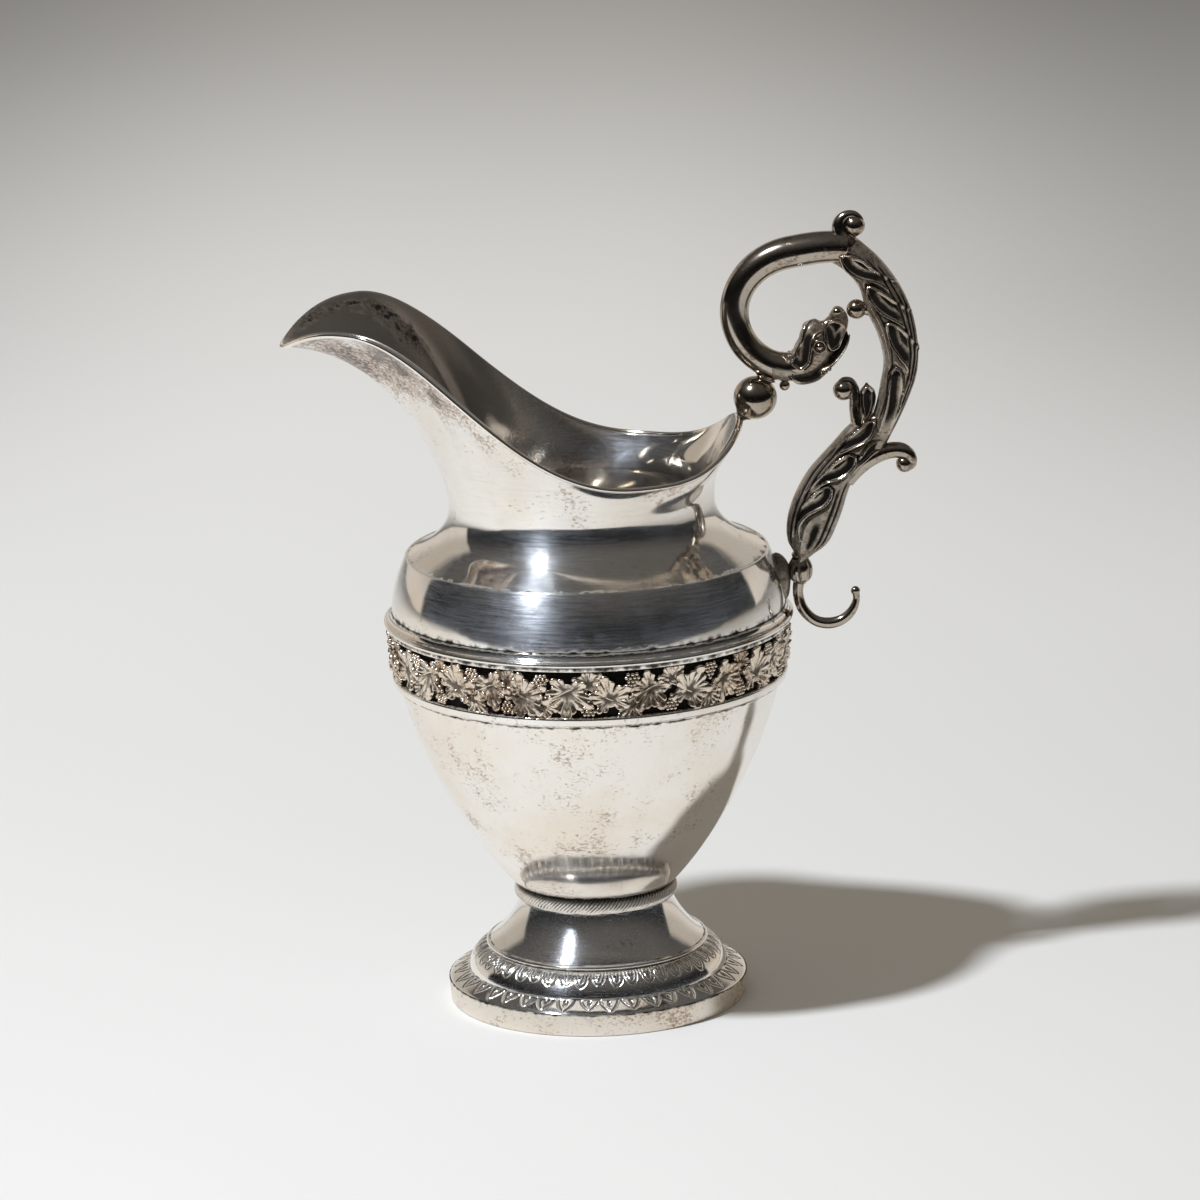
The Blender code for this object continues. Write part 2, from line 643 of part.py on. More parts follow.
def loop_point(angle):
    """Middle of the serpent's body; the coil opens past its crown."""
    past_crown = max(LOOP_CROWN - angle, 0.0) / (LOOP_CROWN - LOOP_LEAF_END)
    to_head = max(angle - LOOP_CLOSE, 0.0) / (LOOP_HEAD_END - LOOP_CLOSE)
    radius = LOOP_RADIUS + LOOP_OVAL * math.cos(2.0 * (angle - LOOP_LONG))
    radius += LOOP_SPREAD * past_crown ** 2 - LOOP_TUCK * to_head ** 2
    return loop_centre() + Vector((math.cos(angle), math.sin(angle))) * radius


def loop_heading(angle):
    """Unit direction along the coil towards the head."""
    return (loop_point(angle + 0.005) - loop_point(angle - 0.005)).normalized()


def build_ball():
    """Ball on the rim with a collar under the loop."""
    high = math.pi - math.asin(BALL_COLLAR_RADIUS / BALL_RADIUS)
    steps = 10
    outline = [(0.0, -BALL_RADIUS)]
    for i in range(1, steps + 1):
        turn = high * i / steps
        outline.append((BALL_RADIUS * math.sin(turn), -BALL_RADIUS * math.cos(turn)))
    outline += [(BALL_COLLAR_RADIUS, ball_top()), (0.0, ball_top())]
    piece = turned("handle_ball", outline, tarnished("handle_ball"), closed=False, facets=SMALL_STEPS)
    centre = ball_centre()
    piece.location = (centre.x, 0.0, centre.y)
    piece.rotation_euler = (0.0, LOOP_LEAN, 0.0)


def build_loop():
    """Smooth coil of the serpent's body and the pearl under it."""
    steps = 26
    angles = [LOOP_HEAD_END + (LOOP_LEAF_END - LOOP_HEAD_END) * i / steps for i in range(steps + 1)]
    path = [loop_point(angle) for angle in angles]
    radii = [loop_tube(angle) for angle in angles]
    ends = (-loop_heading(LOOP_HEAD_END), -loop_heading(LOOP_LEAF_END))
    rings = plane_rings(path, radii, radii, ends=ends)
    lofted("serpent_loop", rings, tarnished("serpent_loop"))

    out = Vector((math.cos(LOOP_PEARL_ANGLE), math.sin(LOOP_PEARL_ANGLE)))
    seat = loop_tube(LOOP_PEARL_ANGLE) + SEAM + LOOP_PEARL_RADIUS
    ball("loop_pearl", loop_point(LOOP_PEARL_ANGLE) + out * seat, LOOP_PEARL_RADIUS,
         tarnished("loop_pearl"))


def build_head():
    """Serpent's head with an open mouth, lofted from its neck to its snout."""
    heading = loop_heading(LOOP_HEAD_END)
    neck = loop_point(LOOP_HEAD_END) + heading * SEAM
    tube = loop_tube(LOOP_HEAD_END)
    rings = plane_rings([neck, neck + heading], [tube] * 2, [tube] * 2)[:1]
    for up_x, up_z, low_x, low_z, depth in HEAD_SECTIONS:
        upper = neck + Vector((up_x, up_z))
        lower = neck + Vector((low_x, low_z))
        middle = 0.5 * (upper + lower)
        half = 0.5 * (upper - lower)
        ring = []
        for k in range(HANDLE_SIDES):
            turn = math.tau * k / HANDLE_SIDES
            flat = middle + half * math.cos(turn)
            ring.append(Vector((flat.x, depth * math.sin(turn), flat.y)))
        rings.append(ring)
    head = lofted("serpent_head", rings, tarnished("serpent_head"))

    wedge = [neck + Vector(corner) for corner in (MOUTH_CORNER, MOUTH_UPPER, MOUTH_LOWER)]
    reach = 2.0 * max(section[4] for section in HEAD_SECTIONS)
    sides = [[Vector((corner.x, y, corner.y)) for corner in wedge] for y in (-reach, reach)]
    cutter = lofted("mouth_cutter", sides, head.data.materials[0])
    cutter.hide_render = True
    cutter.display_type = "WIRE"
    cut = head.modifiers.new("mouth", "BOOLEAN")
    cut.operation = "DIFFERENCE"
    cut.solver = "EXACT"
    cut.object = cutter


def hook_x():
    """Middle of the hook: clear of the moulding, with the pad behind the collar."""
    pad_foot = shoulder_radius(UPPER_MOULDING_Z + UPPER_MOULDING_HEIGHT) + SEAM + PAD_THICKNESS
    return max(BEAD_RADIUS + SEAM + HOOK_WIRE, pad_foot + SEAM + COLLAR_RADIUS)


def collar_z():
    """Foot of the collar on the shoulder."""
    return CREASE_Z - COLLAR_DROP - 0.5 * COLLAR_HEIGHT


def arm_paths():
    """Middle lines of the upper and the lower leaf, from the loop to the collar."""
    heading = -loop_heading(LOOP_LEAF_END)
    start = loop_point(LOOP_LEAF_END) + heading * SEAM
    bend = start + Vector((ARM_SWING, -ARM_DROP))
    foot = Vector((hook_x(), collar_z() + COLLAR_HEIGHT + SEAM))
    junction = foot + Vector((JUNCTION_OUT, JUNCTION_RISE))
    waist = foot + Vector((WAIST_OUT, WAIST_RISE))
    slant = (waist - junction).normalized()
    half = ARM_STEPS // 2
    upper = bezier(start, start + heading * (0.40 * ARM_SWING), bend + UP * (0.40 * ARM_DROP), bend, half)
    upper += bezier(bend, bend - UP * (0.36 * (bend.y - junction.y)),
                    junction - slant * (0.36 * (bend.y - junction.y)), junction, half)[1:]
    start_lower = junction + slant * SEAM
    lean = (junction - foot).normalized()
    lower = bezier(start_lower, start_lower + slant * (0.33 * JUNCTION_OUT),
                   waist + lean * (0.36 * WAIST_RISE), waist, half)
    lower += bezier(waist, waist - lean * (0.36 * WAIST_RISE),
                    foot + UP * (0.24 * WAIST_RISE), foot, half)[1:]
    return upper, lower


def leaf_arm(name, path, widths, depths, heading):
    """Leafy arm: an oval body with slanting lobes raised on both faces."""
    last = len(path) - 1
    wide = [spread(widths, i / last) for i in range(last + 1)]
    deep = [spread(depths, i / last) for i in range(last + 1)]
    rings = plane_rings(path, wide, deep, ends=heading)
    for i, ring in enumerate(rings):
        ends = min(1.0, 6.0 * i / last, 6.0 * (last - i) / last)
        for k, point in enumerate(ring):
            turn = math.tau * k / HANDLE_SIDES
            step = (LEAF_LOBES * i / last + LOBE_SKEW * math.cos(turn)) % 1.0
            raise_by = LOBE_RAISE * ends * math.sin(math.pi * step ** 1.6)
            point.y += raise_by * math.sin(turn) * abs(math.sin(turn))
    lofted(name, rings, tarnished(name))
    return wide


def edge_seat(path, wide, place, side):
    """Point and outward direction on an arm's edge; side 1 is left of its run."""
    edge = [point + left_of(along) * (side * width)
            for point, along, width in zip(path, tangents(path), wide)]
    i = round(place * (len(path) - 1))
    along = (edge[i + 1] - edge[i - 1]).normalized()
    return edge[i], left_of(along) * side


def stalk_and_knob(name, path, stalk, knob):
    """Thin round stalk along a path that ends in a ball."""
    steps = 5
    tip = path[-1]
    along = tangents(path)[-1]
    radii = [stalk] * len(path)
    ends = list(path)
    start = math.asin(min(stalk / knob, 0.99))
    for i in range(1, steps + 1):
        turn = start + (math.pi - start) * i / (steps + 0.6)
        ends.append(tip + along * (knob * (math.cos(start) - math.cos(turn))))
        radii.append(knob * math.sin(turn))
    lofted(name, plane_rings(ends, radii, radii, SMALL_SIDES), tarnished(name))


def build_arms():
    """Two acanthus leaves with their finial, pearl, bud and scroll."""
    upper, lower = arm_paths()
    meeting = (lower[0] - upper[-1]).normalized()
    upper_wide = leaf_arm("upper_leaf_arm", upper, UPPER_WIDTHS, UPPER_DEPTHS,
                          (-loop_heading(LOOP_LEAF_END), meeting))
    lower_wide = leaf_arm("lower_leaf_arm", lower, LOWER_WIDTHS, LOWER_DEPTHS, (meeting, -UP))

    seat, out = edge_seat(upper, upper_wide, 0.045, 1)
    foot = seat + out * SEAM
    stalk_and_knob("top_finial", [foot, foot + out * FINIAL_STALK], FINIAL_NECK, FINIAL_RADIUS)

    seat, out = edge_seat(upper, upper_wide, 0.33, -1)
    ball("arm_pearl", seat + out * (SEAM + ARM_PEARL_RADIUS), ARM_PEARL_RADIUS, tarnished("arm_pearl"))

    seat, out = edge_seat(lower, lower_wide, 0.06, -1)
    foot = seat + out * SEAM
    tip = foot + Vector((-BUD_REACH_OUT, BUD_REACH_UP))
    stalk = bezier(foot, foot + out * (0.3 * BUD_REACH_UP), tip - UP * (0.3 * BUD_REACH_UP), tip, 5)
    stalk_and_knob("curl_bud", stalk, BUD_STALK, BUD_RADIUS)

    seat, out = edge_seat(lower, lower_wide, 0.06, 1)
    foot = seat + out * SEAM
    middle = foot + Vector((SCROLL_REACH, -SCROLL_DROP))
    curl = []
    for i in range(9):
        turn = math.radians(110.0 - 220.0 * i / 8)
        curl.append(middle + Vector((math.cos(turn), math.sin(turn))) * SCROLL_RADIUS)
    pull = 0.3 * SCROLL_REACH
    run = bezier(foot, foot + out * pull, curl[0] + (curl[0] - curl[1]).normalized() * pull, curl[0], 3)
    path = run[:-1] + curl
    radii = [0.6 * SCROLL_TUBE] + [SCROLL_TUBE] * (len(path) - 1)
    lofted("outer_scroll", plane_rings(path, radii, radii, SMALL_SIDES), tarnished("outer_scroll"))


def build_shoulder_fitting():
    """Pad on the shoulder, two-petal collar under the lower leaf and the tail hook."""
    x = hook_x()
    low = collar_z()
    shape = ((0.55, 0.0), (0.85, 0.18), (1.0, 0.42), (0.92, 0.62), (0.72, 0.80), (0.80, 1.0))
    outline = [(0.0, low)] + [(COLLAR_RADIUS * r, low + COLLAR_HEIGHT * h) for r, h in shape]
    outline.append((0.0, low + COLLAR_HEIGHT))
    collar = turned("bud_collar", outline, tarnished("bud_collar"), closed=False, facets=SMALL_STEPS)
    collar.location = (x, 0.0, 0.0)

    face = x - COLLAR_RADIUS - SEAM
    foot = UPPER_MOULDING_Z + UPPER_MOULDING_HEIGHT + SEAM
    head = low + COLLAR_HEIGHT
    rings = []
    for i in range(6):
        level = foot + (head - foot) * i / 5
        back = shoulder_radius(level) + SEAM
        half = 0.5 * PAD_WIDTH
        rings.append([Vector((back, -half, level)), Vector((face, -0.7 * half, level)),
                      Vector((face, 0.7 * half, level)), Vector((back, half, level))])
    lofted("shoulder_pad", rings, tarnished("shoulder_pad"))

    top = Vector((x, low - SEAM))
    drop = 0.5 * (low - SEAM - UPPER_MOULDING_Z)
    path = [top, top - UP * drop]
    middle = path[-1] + Vector((HOOK_RADIUS, 0.0))
    for i in range(1, 13):
        turn = math.pi + math.pi * i / 12
        path.append(middle + Vector((math.cos(turn), math.sin(turn))) * HOOK_RADIUS)
    tip = path[-1]
    path += [tip + UP * (0.5 * HOOK_TIP), tip + UP * (0.55 * HOOK_TIP), tip + UP * HOOK_TIP]
    radii = [HOOK_WIRE] * (len(path) - 2) + [HOOK_KNOB] * 2
    lofted("tail_hook", plane_rings(path, radii, radii, SMALL_SIDES), tarnished("tail_hook"))


def arm_reach():
    """Outermost point of the upper leaf."""
    upper = arm_paths()[0]
    last = len(upper) - 1
    return max(point.x + spread(UPPER_WIDTHS, i / last) for i, point in enumerate(upper))


def main():
    clear_scene()
    axis = bpy.data.objects.new("body_axis", None)
    bpy.context.collection.objects.link(axis)
    axis.location.x = -0.5 * (arm_reach() + SPOUT_X - RIM_WIRE)
    build_foot()
    build_bowl()
    build_mouldings()
    build_frieze()
    turned("shoulder", sheet(shoulder_line(5), INWARD, INWARD), polished("shoulder"))
    build_neck()
    build_ball()
    build_loop()
    build_head()
    build_arms()
    build_shoulder_fitting()


main()
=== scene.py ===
"""Dresses the silver milk jug: spun walls, engraved foot, vine frieze and serpent handle.

Lengths in the shape functions are millimetres from the axis of the turned body, with the
handle towards +x and the spout towards -x. add_piece brings them into the frame's metres.
"""
import math

import bpy
import numpy as np
from bpy.props import FloatProperty, FloatVectorProperty, IntProperty, PointerProperty
from mathutils import Matrix, Vector


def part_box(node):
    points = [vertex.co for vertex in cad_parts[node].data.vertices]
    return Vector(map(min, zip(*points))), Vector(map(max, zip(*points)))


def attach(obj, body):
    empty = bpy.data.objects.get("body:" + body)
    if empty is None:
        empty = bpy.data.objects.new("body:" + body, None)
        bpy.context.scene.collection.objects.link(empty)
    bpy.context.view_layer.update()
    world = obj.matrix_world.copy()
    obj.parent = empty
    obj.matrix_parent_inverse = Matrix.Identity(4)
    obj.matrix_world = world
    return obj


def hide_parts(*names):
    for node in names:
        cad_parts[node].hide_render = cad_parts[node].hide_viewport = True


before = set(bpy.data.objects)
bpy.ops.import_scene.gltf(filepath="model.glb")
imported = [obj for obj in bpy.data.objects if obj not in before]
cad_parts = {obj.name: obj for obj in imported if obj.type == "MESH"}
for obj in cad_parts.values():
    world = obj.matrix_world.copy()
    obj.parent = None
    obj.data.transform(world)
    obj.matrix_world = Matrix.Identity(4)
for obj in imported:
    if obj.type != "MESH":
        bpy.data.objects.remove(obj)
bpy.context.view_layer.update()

bl_info = {
    "name": "Silver milk jug",
    "version": (1, 0, 0),
    "blender": (4, 5, 0),
    "location": "View3D > Sidebar > Jug",
    "description": "Fine surfaces, finishes and studio of a silver milk jug on its solid parts",
    "category": "Add Mesh",
}

MM = 0.001
TAU = 2.0 * math.pi
BODY = "root"


def centre_x(node):
    """Middle of a part's box along x, in metres."""
    low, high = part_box(node)
    return 0.5 * (low.x + high.x)


def half_width(node):
    """Half of a part's width along y, in millimetres: the radius of a turned part."""
    low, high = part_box(node)
    return 0.5 * (high.y - low.y) / MM


def foot_of(node):
    """Lowest height of a part, in millimetres."""
    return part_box(node)[0].z / MM


def head_of(node):
    """Greatest height of a part, in millimetres."""
    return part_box(node)[1].z / MM


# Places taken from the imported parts
AXIS_X = centre_x("plinth_wall")
FOOT_RADIUS = half_width("plinth_wall")
STEM_RADIUS = half_width("foot_stem") - 0.3
STEM_Z = foot_of("foot_stem")
STEM_TOP_Z = head_of("foot_stem")
ROPE_Z = 0.5 * (foot_of("rope_ring") + head_of("rope_ring"))
BOWL_Z = foot_of("bowl")
BELT_Z = head_of("bowl")
BELT_RADIUS = half_width("bowl")
BAND_Z = foot_of("lower_band_moulding")
FRIEZE_Z = foot_of("vine_frieze")
FRIEZE_TOP_Z = head_of("vine_frieze")
UPPER_BAND_Z = foot_of("upper_band_moulding")
UPPER_BAND_TOP_Z = head_of("upper_band_moulding")
BEAD_RADIUS = half_width("upper_band_moulding")
SHOULDER_Z = foot_of("shoulder")
CREASE_Z = head_of("shoulder")
NECK_Z = foot_of("neck_spout")

# Turned body
WALL = 1.1
PLINTH_TOP_Z = 5.7
PLINTH_WALL = 1.8
PLINTH_DRAFT = 0.45
DOME_RADIUS = 31.6
DOME_BASE_Z = 8.0
DOME_TOP_Z = STEM_Z - 0.3
STEM_TOP_RADIUS = 18.7
ROPE_RADIUS = STEM_TOP_RADIUS - 0.5 * WALL
ROPE_WIRE = 1.75
BOWL_TOP_RADIUS = 46.6
CREASE_RADIUS = 44.4
FRIEZE_GROUND = 0.5
LEAF_SIZE = 5.9
SMALL_LEAF_SIZE = 4.0
GRAPE_RADIUS = 0.49

# Neck, spout and rim
NECK_RADIUS = CREASE_RADIUS - 0.4
WAIST_Z = NECK_Z + 11.2
WAIST_RISE = 1.7
WAIST_RADIUS = 32.35
WAIST_SHIFT = 0.95
SPOUT_X = -72.35
BACK_X = 38.1
RIM_WIDTH = 36.0
RIM_PINCH = 1.1
RIM_LOW = 10.5
RIM_BACK = 20.5
RIM_PEAK = 48.4
SPOUT_TIP = 41.5
DIP_FROM_BACK = 23.1
PEAK_FROM_TIP = 17.0
RIM_WIRE = 0.6
RIM_TUCK = 0.26
RIM_GATHER = 0.30
NECK_STEPS = 420

# Handle: coil of the serpent and the ball under it
COIL_CENTRE = (52.85, 170.94)
COIL_RADIUS = 15.1
COIL_TUBE = 3.5
PEARL_DROP = 4.75
PEARL_RADIUS = 1.3
BALL_CENTRE = (41.74, 149.62)
BALL_RADIUS = 5.3
BALL_LEAN = math.radians(27.5)
BALL_FOOT_LEAN = math.radians(36.0)


def unit(x):
    """Values held between 0 and 1."""
    return np.clip(x, 0.0, 1.0)


def turns(count):
    """Even angles once round: TAU k / count."""
    return np.arange(count) * TAU / count


def smooth(low, high, x):
    """0 below low, 1 above high and 3t^2 - 2t^3 between."""
    t = unit((x - low) / (high - low))
    return t * t * (3.0 - 2.0 * t)


def bump(x, centre, width):
    """Bell of height 1: exp(-((x - centre) / width)^2)."""
    return np.exp(-((x - centre) / width) ** 2)


def bezier(start, pull_start, pull_end, end, count):
    """Cubic curve (1-t)^3 a + 3(1-t)^2 t b + 3(1-t) t^2 c + t^3 d at count even steps.

    The ends may be single points or whole rows of points, which give a surface."""
    a, b, c, d = (np.asarray(p, float) for p in (start, pull_start, pull_end, end))
    t = np.linspace(0.0, 1.0, count).reshape(-1, *[1] * a.ndim)
    s = 1.0 - t
    return a * s ** 3 + b * 3 * s * s * t + c * 3 * s * t * t + d * t ** 3


def through(points, count):
    """Smooth line through points: cubic pieces on chord length with centred slopes."""
    p = np.asarray(points, float)
    chord = np.linalg.norm(np.diff(p[:, :2], axis=0), axis=1)
    s = np.concatenate(([0.0], np.cumsum(chord)))
    slope = np.gradient(p, s, axis=0)
    t = np.linspace(0.0, s[-1], count)
    i = np.clip(np.searchsorted(s, t, side="right") - 1, 0, len(s) - 2)
    h = (s[i + 1] - s[i])[:, None]
    u = (t - s[i])[:, None] / h
    rise = (2 * u ** 3 - 3 * u ** 2 + 1) * p[i] + (3 * u ** 2 - 2 * u ** 3) * p[i + 1]
    return rise + (u ** 3 - 2 * u ** 2 + u) * h * slope[i] + (u ** 3 - u ** 2) * h * slope[i + 1]


def rounded(corners, radius, count=6):
    """Closed outline whose corners are quadratic curves that start and end radius away."""
    p = np.asarray(corners, float)
    before = np.roll(p, 1, axis=0) - p
    after = np.roll(p, -1, axis=0) - p
    reach_b = np.linalg.norm(before, axis=1, keepdims=True)
    reach_a = np.linalg.norm(after, axis=1, keepdims=True)
    a = p + before / reach_b * np.minimum(radius, 0.45 * reach_b)
    b = p + after / reach_a * np.minimum(radius, 0.45 * reach_a)
    t = np.linspace(0.0, 1.0, count)[None, :, None]
    curve = (1 - t) ** 2 * a[:, None] + 2 * t * (1 - t) * p[:, None] + t * t * b[:, None]
    return curve.reshape(-1, 2)


def normals_2d(line):
    """Unit normals left of an open line of plane points."""
    along = np.gradient(line, axis=0)
    along /= np.linalg.norm(along, axis=1, keepdims=True)
    return np.stack((-along[:, 1], along[:, 0]), axis=1)


def walled(line, wall, thin=3):
    """Closed outline of a sheet: the outer line and, set in by the wall, every thin-th point back."""
    inner = line + normals_2d(line) * wall
    keep = np.unique(np.append(np.arange(0, len(line), thin), len(line) - 1))
    return np.concatenate((line, inner[keep][::-1]))


def spun(outline, steps, out=0.0):
    """Outline (r, z) spun about the axis: (r cos a, r sin a, z), rows along the outline.

    out may hold an offset per row and step, added to the radius."""
    a = turns(steps)
    r = outline[:, :1] + out
    r = np.broadcast_to(r, (len(outline), steps))
    z = np.broadcast_to(outline[:, 1:2], r.shape)
    return np.stack((r * np.cos(a), r * np.sin(a), z), axis=2)


MARKS = ("recess", "lining", "stain")


def turned(outline, soil_and_shade, out=0.0):
    """Skin of a closed outline spun about the axis, with the darkness of soiling and painted shade per
    row.
    """
    steps = bpy.context.scene.jug_sizes.turn_steps
    return skin(spun(outline, steps, out), wrap_rows=True, recess=np.reshape(soil_and_shade, (-1, 1)))


def skin(grid, wrap_rows=False, caps=False, recess=None):
    """Quads over a grid of points whose columns close on themselves.

    The rows close too, or the first and last row get a fan. recess is 0 to 1 per point."""
    rows, columns = grid.shape[:2]
    index = np.arange(rows * columns).reshape(rows, columns)
    after = np.roll(index, -1, axis=1)
    low, low_after = (index, after) if wrap_rows else (index[:-1], after[:-1])
    high = np.roll(index, -1, axis=0) if wrap_rows else index[1:]
    high_after = np.roll(after, -1, axis=0) if wrap_rows else after[1:]
    quads = np.stack((low, low_after, high_after, high), axis=-1).reshape(-1, 4)
    points = grid.reshape(-1, 3)
    soil_and_shade = np.broadcast_to(0.0 if recess is None else recess, (rows, columns)).ravel()
    fans = np.zeros((0, 3), int)
    if caps:
        first, last = len(points), len(points) + 1
        points = np.concatenate((points, grid[0].mean(0)[None], grid[-1].mean(0)[None]))
        soil_and_shade = np.append(soil_and_shade, (soil_and_shade[0], soil_and_shade[-1]))
        ring = np.full(columns, first)
        crown = np.full(columns, last)
        fans = np.concatenate((np.stack((after[0], index[0], ring), axis=1),
                               np.stack((index[-1], after[-1], crown), axis=1)))
    corners = points[np.concatenate((quads[:, :3], quads[:, [0, 2, 3]], fans))]
    volume = np.einsum("ij,ij->i", corners[:, 0], np.cross(corners[:, 1], corners[:, 2])).sum()
    if volume < 0.0:
        quads, fans = quads[:, ::-1], fans[:, ::-1]
    return {"points": points, "quads": quads, "fans": fans, "recess": soil_and_shade}


def moved(patch, turn=None, shift=(0.0, 0.0, 0.0)):
    """Patch turned by a matrix and then shifted."""
    points = patch["points"] if turn is None else patch["points"] @ np.array(turn).T
    return {**patch, "points": points + np.asarray(shift, float)}


def add_piece(name, patches, finish, node=None):
    """Puts patches into one smooth mesh object that rides on the jug.

    It stands for a CAD node, which it hides, or is added alongside the other pieces."""
    starts = np.cumsum([0] + [len(p["points"]) for p in patches[:-1]])
    points = np.concatenate([p["points"] for p in patches]) * MM
    points[:, 0] += AXIS_X
    quads = np.concatenate([p["quads"] + s for p, s in zip(patches, starts)])
    fans = np.concatenate([p["fans"] + s for p, s in zip(patches, starts)])
    mesh = bpy.data.meshes.new(name)
    mesh.vertices.add(len(points))
    mesh.vertices.foreach_set("co", points.astype(np.float32).ravel())
    corners = np.concatenate((quads.ravel(), fans.ravel())).astype(np.int32)
    mesh.loops.add(len(corners))
    mesh.loops.foreach_set("vertex_index", corners)
    firsts = np.concatenate((np.arange(len(quads)) * 4, len(quads) * 4 + np.arange(len(fans)) * 3))
    mesh.polygons.add(len(firsts))
    mesh.polygons.foreach_set("loop_start", firsts.astype(np.int32))
    mesh.update(calc_edges=True)
    mesh.shade_smooth()
    for mark in MARKS:
        if mark in patches[0]:
            layer = mesh.attributes.new(mark, "FLOAT", "POINT")
            values = np.concatenate([p[mark] for p in patches])
            layer.data.foreach_set("value", values.astype(np.float32))
    mesh.use_auto_texspace = False
    mesh.texspace_location = (AXIS_X, 0.0, 0.1)
    mesh.texspace_size = (0.1, 0.1, 0.1)
    mesh.materials.append(finish)
    piece = bpy.data.objects.new(name, mesh)
    bpy.context.scene.collection.objects.link(piece)
    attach(piece, BODY)
    if node:
        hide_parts(node)


class Wires:
    """Adds nodes to a tree and joins their sockets."""

    def __init__(self, tree):
        self.tree = tree

    def add(self, kind, values=None, **settings):
        """New node with its settings and inputs."""
        node = self.tree.nodes.new(kind)
        for key, value in settings.items():
            setattr(node, key, value)
        self.fill(node, values or {})
        return node

    def math(self, operation, a, b=0.0):
        """Result of one sum on two values or sockets."""
        return self.add("ShaderNodeMath", {0: a, 1: b}, operation=operation).outputs[0]

    def times(self, a, b):
        return self.math("MULTIPLY", a, b)

    def plus(self, a, b):
        return self.math("ADD", a, b)

    def minus(self, a, b):
        return self.math("SUBTRACT", a, b)

    def link(self, socket, node, name):
        """Leads a socket to a node's input of that name."""
        self.tree.links.new(socket, node.inputs[name])

    def span(self, value, low, high, to_low=0.0, to_high=1.0):
        """Smooth step of a value from low to high onto to_low to to_high."""
        values = {"Value": value, "From Min": low, "From Max": high,
                  "To Min": to_low, "To Max": to_high}
        return self.add("ShaderNodeMapRange", values, interpolation_type="SMOOTHSTEP").outputs[0]

    def blend(self, share, a, b):
        """Colour a where share is 0 and b where it is 1."""
        return self.add("ShaderNodeMix", {0: share, 6: a, 7: b}, data_type="RGBA").outputs[2]

    def noise(self, vector, scale, detail=4.0, rough=0.55):
        """Cloudy noise about 0.5."""
        values = {"Vector": vector, "Scale": scale, "Detail": detail, "Roughness": rough}
        return self.add("ShaderNodeTexNoise", values).outputs[0]

    def mapped(self, vector, scale, turn=(0.0, 0.0, 0.0)):
        """Place scaled and turned for a pattern that is drawn out one way."""
        values = {"Vector": vector, "Rotation": turn, "Scale": scale}
        return self.add("ShaderNodeMapping", values).outputs[0]

    def fill(self, node, values):
        """Inputs of a node: a value that is a socket is linked, any other is set."""
        for socket, value in values.items():
            if isinstance(value, bpy.types.NodeSocket):
                self.tree.links.new(value, node.inputs[socket])
            else:
                node.inputs[socket].default_value = value


def new_group(name, inputs, outputs):
    """Empty shader group with named sockets; returns it with its wires and ends."""
    group = bpy.data.node_groups.new(name, "ShaderNodeTree")
    for label, kind in inputs:
        group.interface.new_socket(label, in_out="INPUT", socket_type=kind)
    for label, kind in outputs:
        group.interface.new_socket(label, in_out="OUTPUT", socket_type=kind)
    wires = Wires(group)
    return group, wires, wires.add("NodeGroupInput").outputs, wires.add("NodeGroupOutput")


def spots_group():
    """Tarnish: brown marks and a few black specks where fine and broad noise pass a level."""
    group, wires, given, out = new_group(
        "tarnish_spots",
        [("Vector", "NodeSocketVector"), ("Scale", "NodeSocketFloat"), ("Cover", "NodeSocketFloat")],
        [("Spots", "NodeSocketFloat"), ("Cloud", "NodeSocketFloat")])
    flat = wires.mapped(given["Vector"], (1.0, 1.0, 1.6))
    fine = wires.noise(flat, given["Scale"], 8.0, 0.76)
    broad = wires.noise(given["Vector"], wires.times(given["Scale"], 0.085), 4.0, 0.65)
    both = wires.plus(wires.times(fine, 0.62), wires.times(broad, 0.38))
    level = wires.minus(0.655, wires.times(given["Cover"], 0.32))
    high = wires.plus(level, 0.060)
    spots = wires.span(both, high, wires.plus(high, 0.025))
    cloud = wires.span(both, wires.minus(level, 0.016), wires.plus(level, 0.018))
    wires.link(spots, out, "Spots")
    wires.link(cloud, out, "Cloud")
    return group


def hairlines_group():
    """Polishing lines round the axis: noise on (angle, height, radius), drawn out along the angle.

    Worn marks random points, more of them along the lines, where the skin has lost its gloss;
    Strays are longer single scratches across the lines."""
    group, wires, given, out = new_group(
        "hairlines",
        [("Vector", "NodeSocketVector"), ("Fineness", "NodeSocketFloat"),
         ("Share", "NodeSocketFloat")],
        [("Worn", "NodeSocketFloat"), ("Strays", "NodeSocketFloat")])
    split = wires.add("ShaderNodeSeparateXYZ", {0: given["Vector"]}).outputs
    x = wires.minus(split[0], AXIS_X)
    angle = wires.math("ARCTAN2", split[1], x)
    square = wires.plus(wires.times(x, x), wires.times(split[1], split[1]))
    fine = given["Fineness"]
    ring = wires.add("ShaderNodeCombineXYZ", {
        0: wires.times(angle, 5.0),
        1: wires.times(split[2], fine),
        2: wires.times(wires.math("SQRT", square), fine)}).outputs[0]
    lines = wires.span(wires.noise(ring, 1.0, 3.0, 0.6), 0.36, 0.66, 0.65, 1.35)
    patch = wires.span(wires.noise(given["Vector"], 90.0, 3.0, 0.6), 0.3, 0.7, 0.6, 1.4)
    chance = wires.times(wires.times(lines, patch), given["Share"])
    random = wires.add("ShaderNodeTexWhiteNoise", {"Vector": given["Vector"]},
                       noise_dimensions="3D").outputs[0]
    slanted = wires.mapped(given["Vector"], (160.0, 4200.0, 4200.0), (0.5, 0.9, 0.4))
    crossed = wires.mapped(given["Vector"], (3900.0, 180.0, 3900.0), (0.2, -0.7, 1.1))
    first = wires.span(wires.noise(slanted, 1.0, 1.0), 0.66, 0.74)
    second = wires.span(wires.noise(crossed, 1.0, 1.0), 0.66, 0.74)
    wires.link(wires.math("LESS_THAN", random, chance), out, "Worn")
    wires.link(wires.math("MAXIMUM", first, second), out, "Strays")
    return group


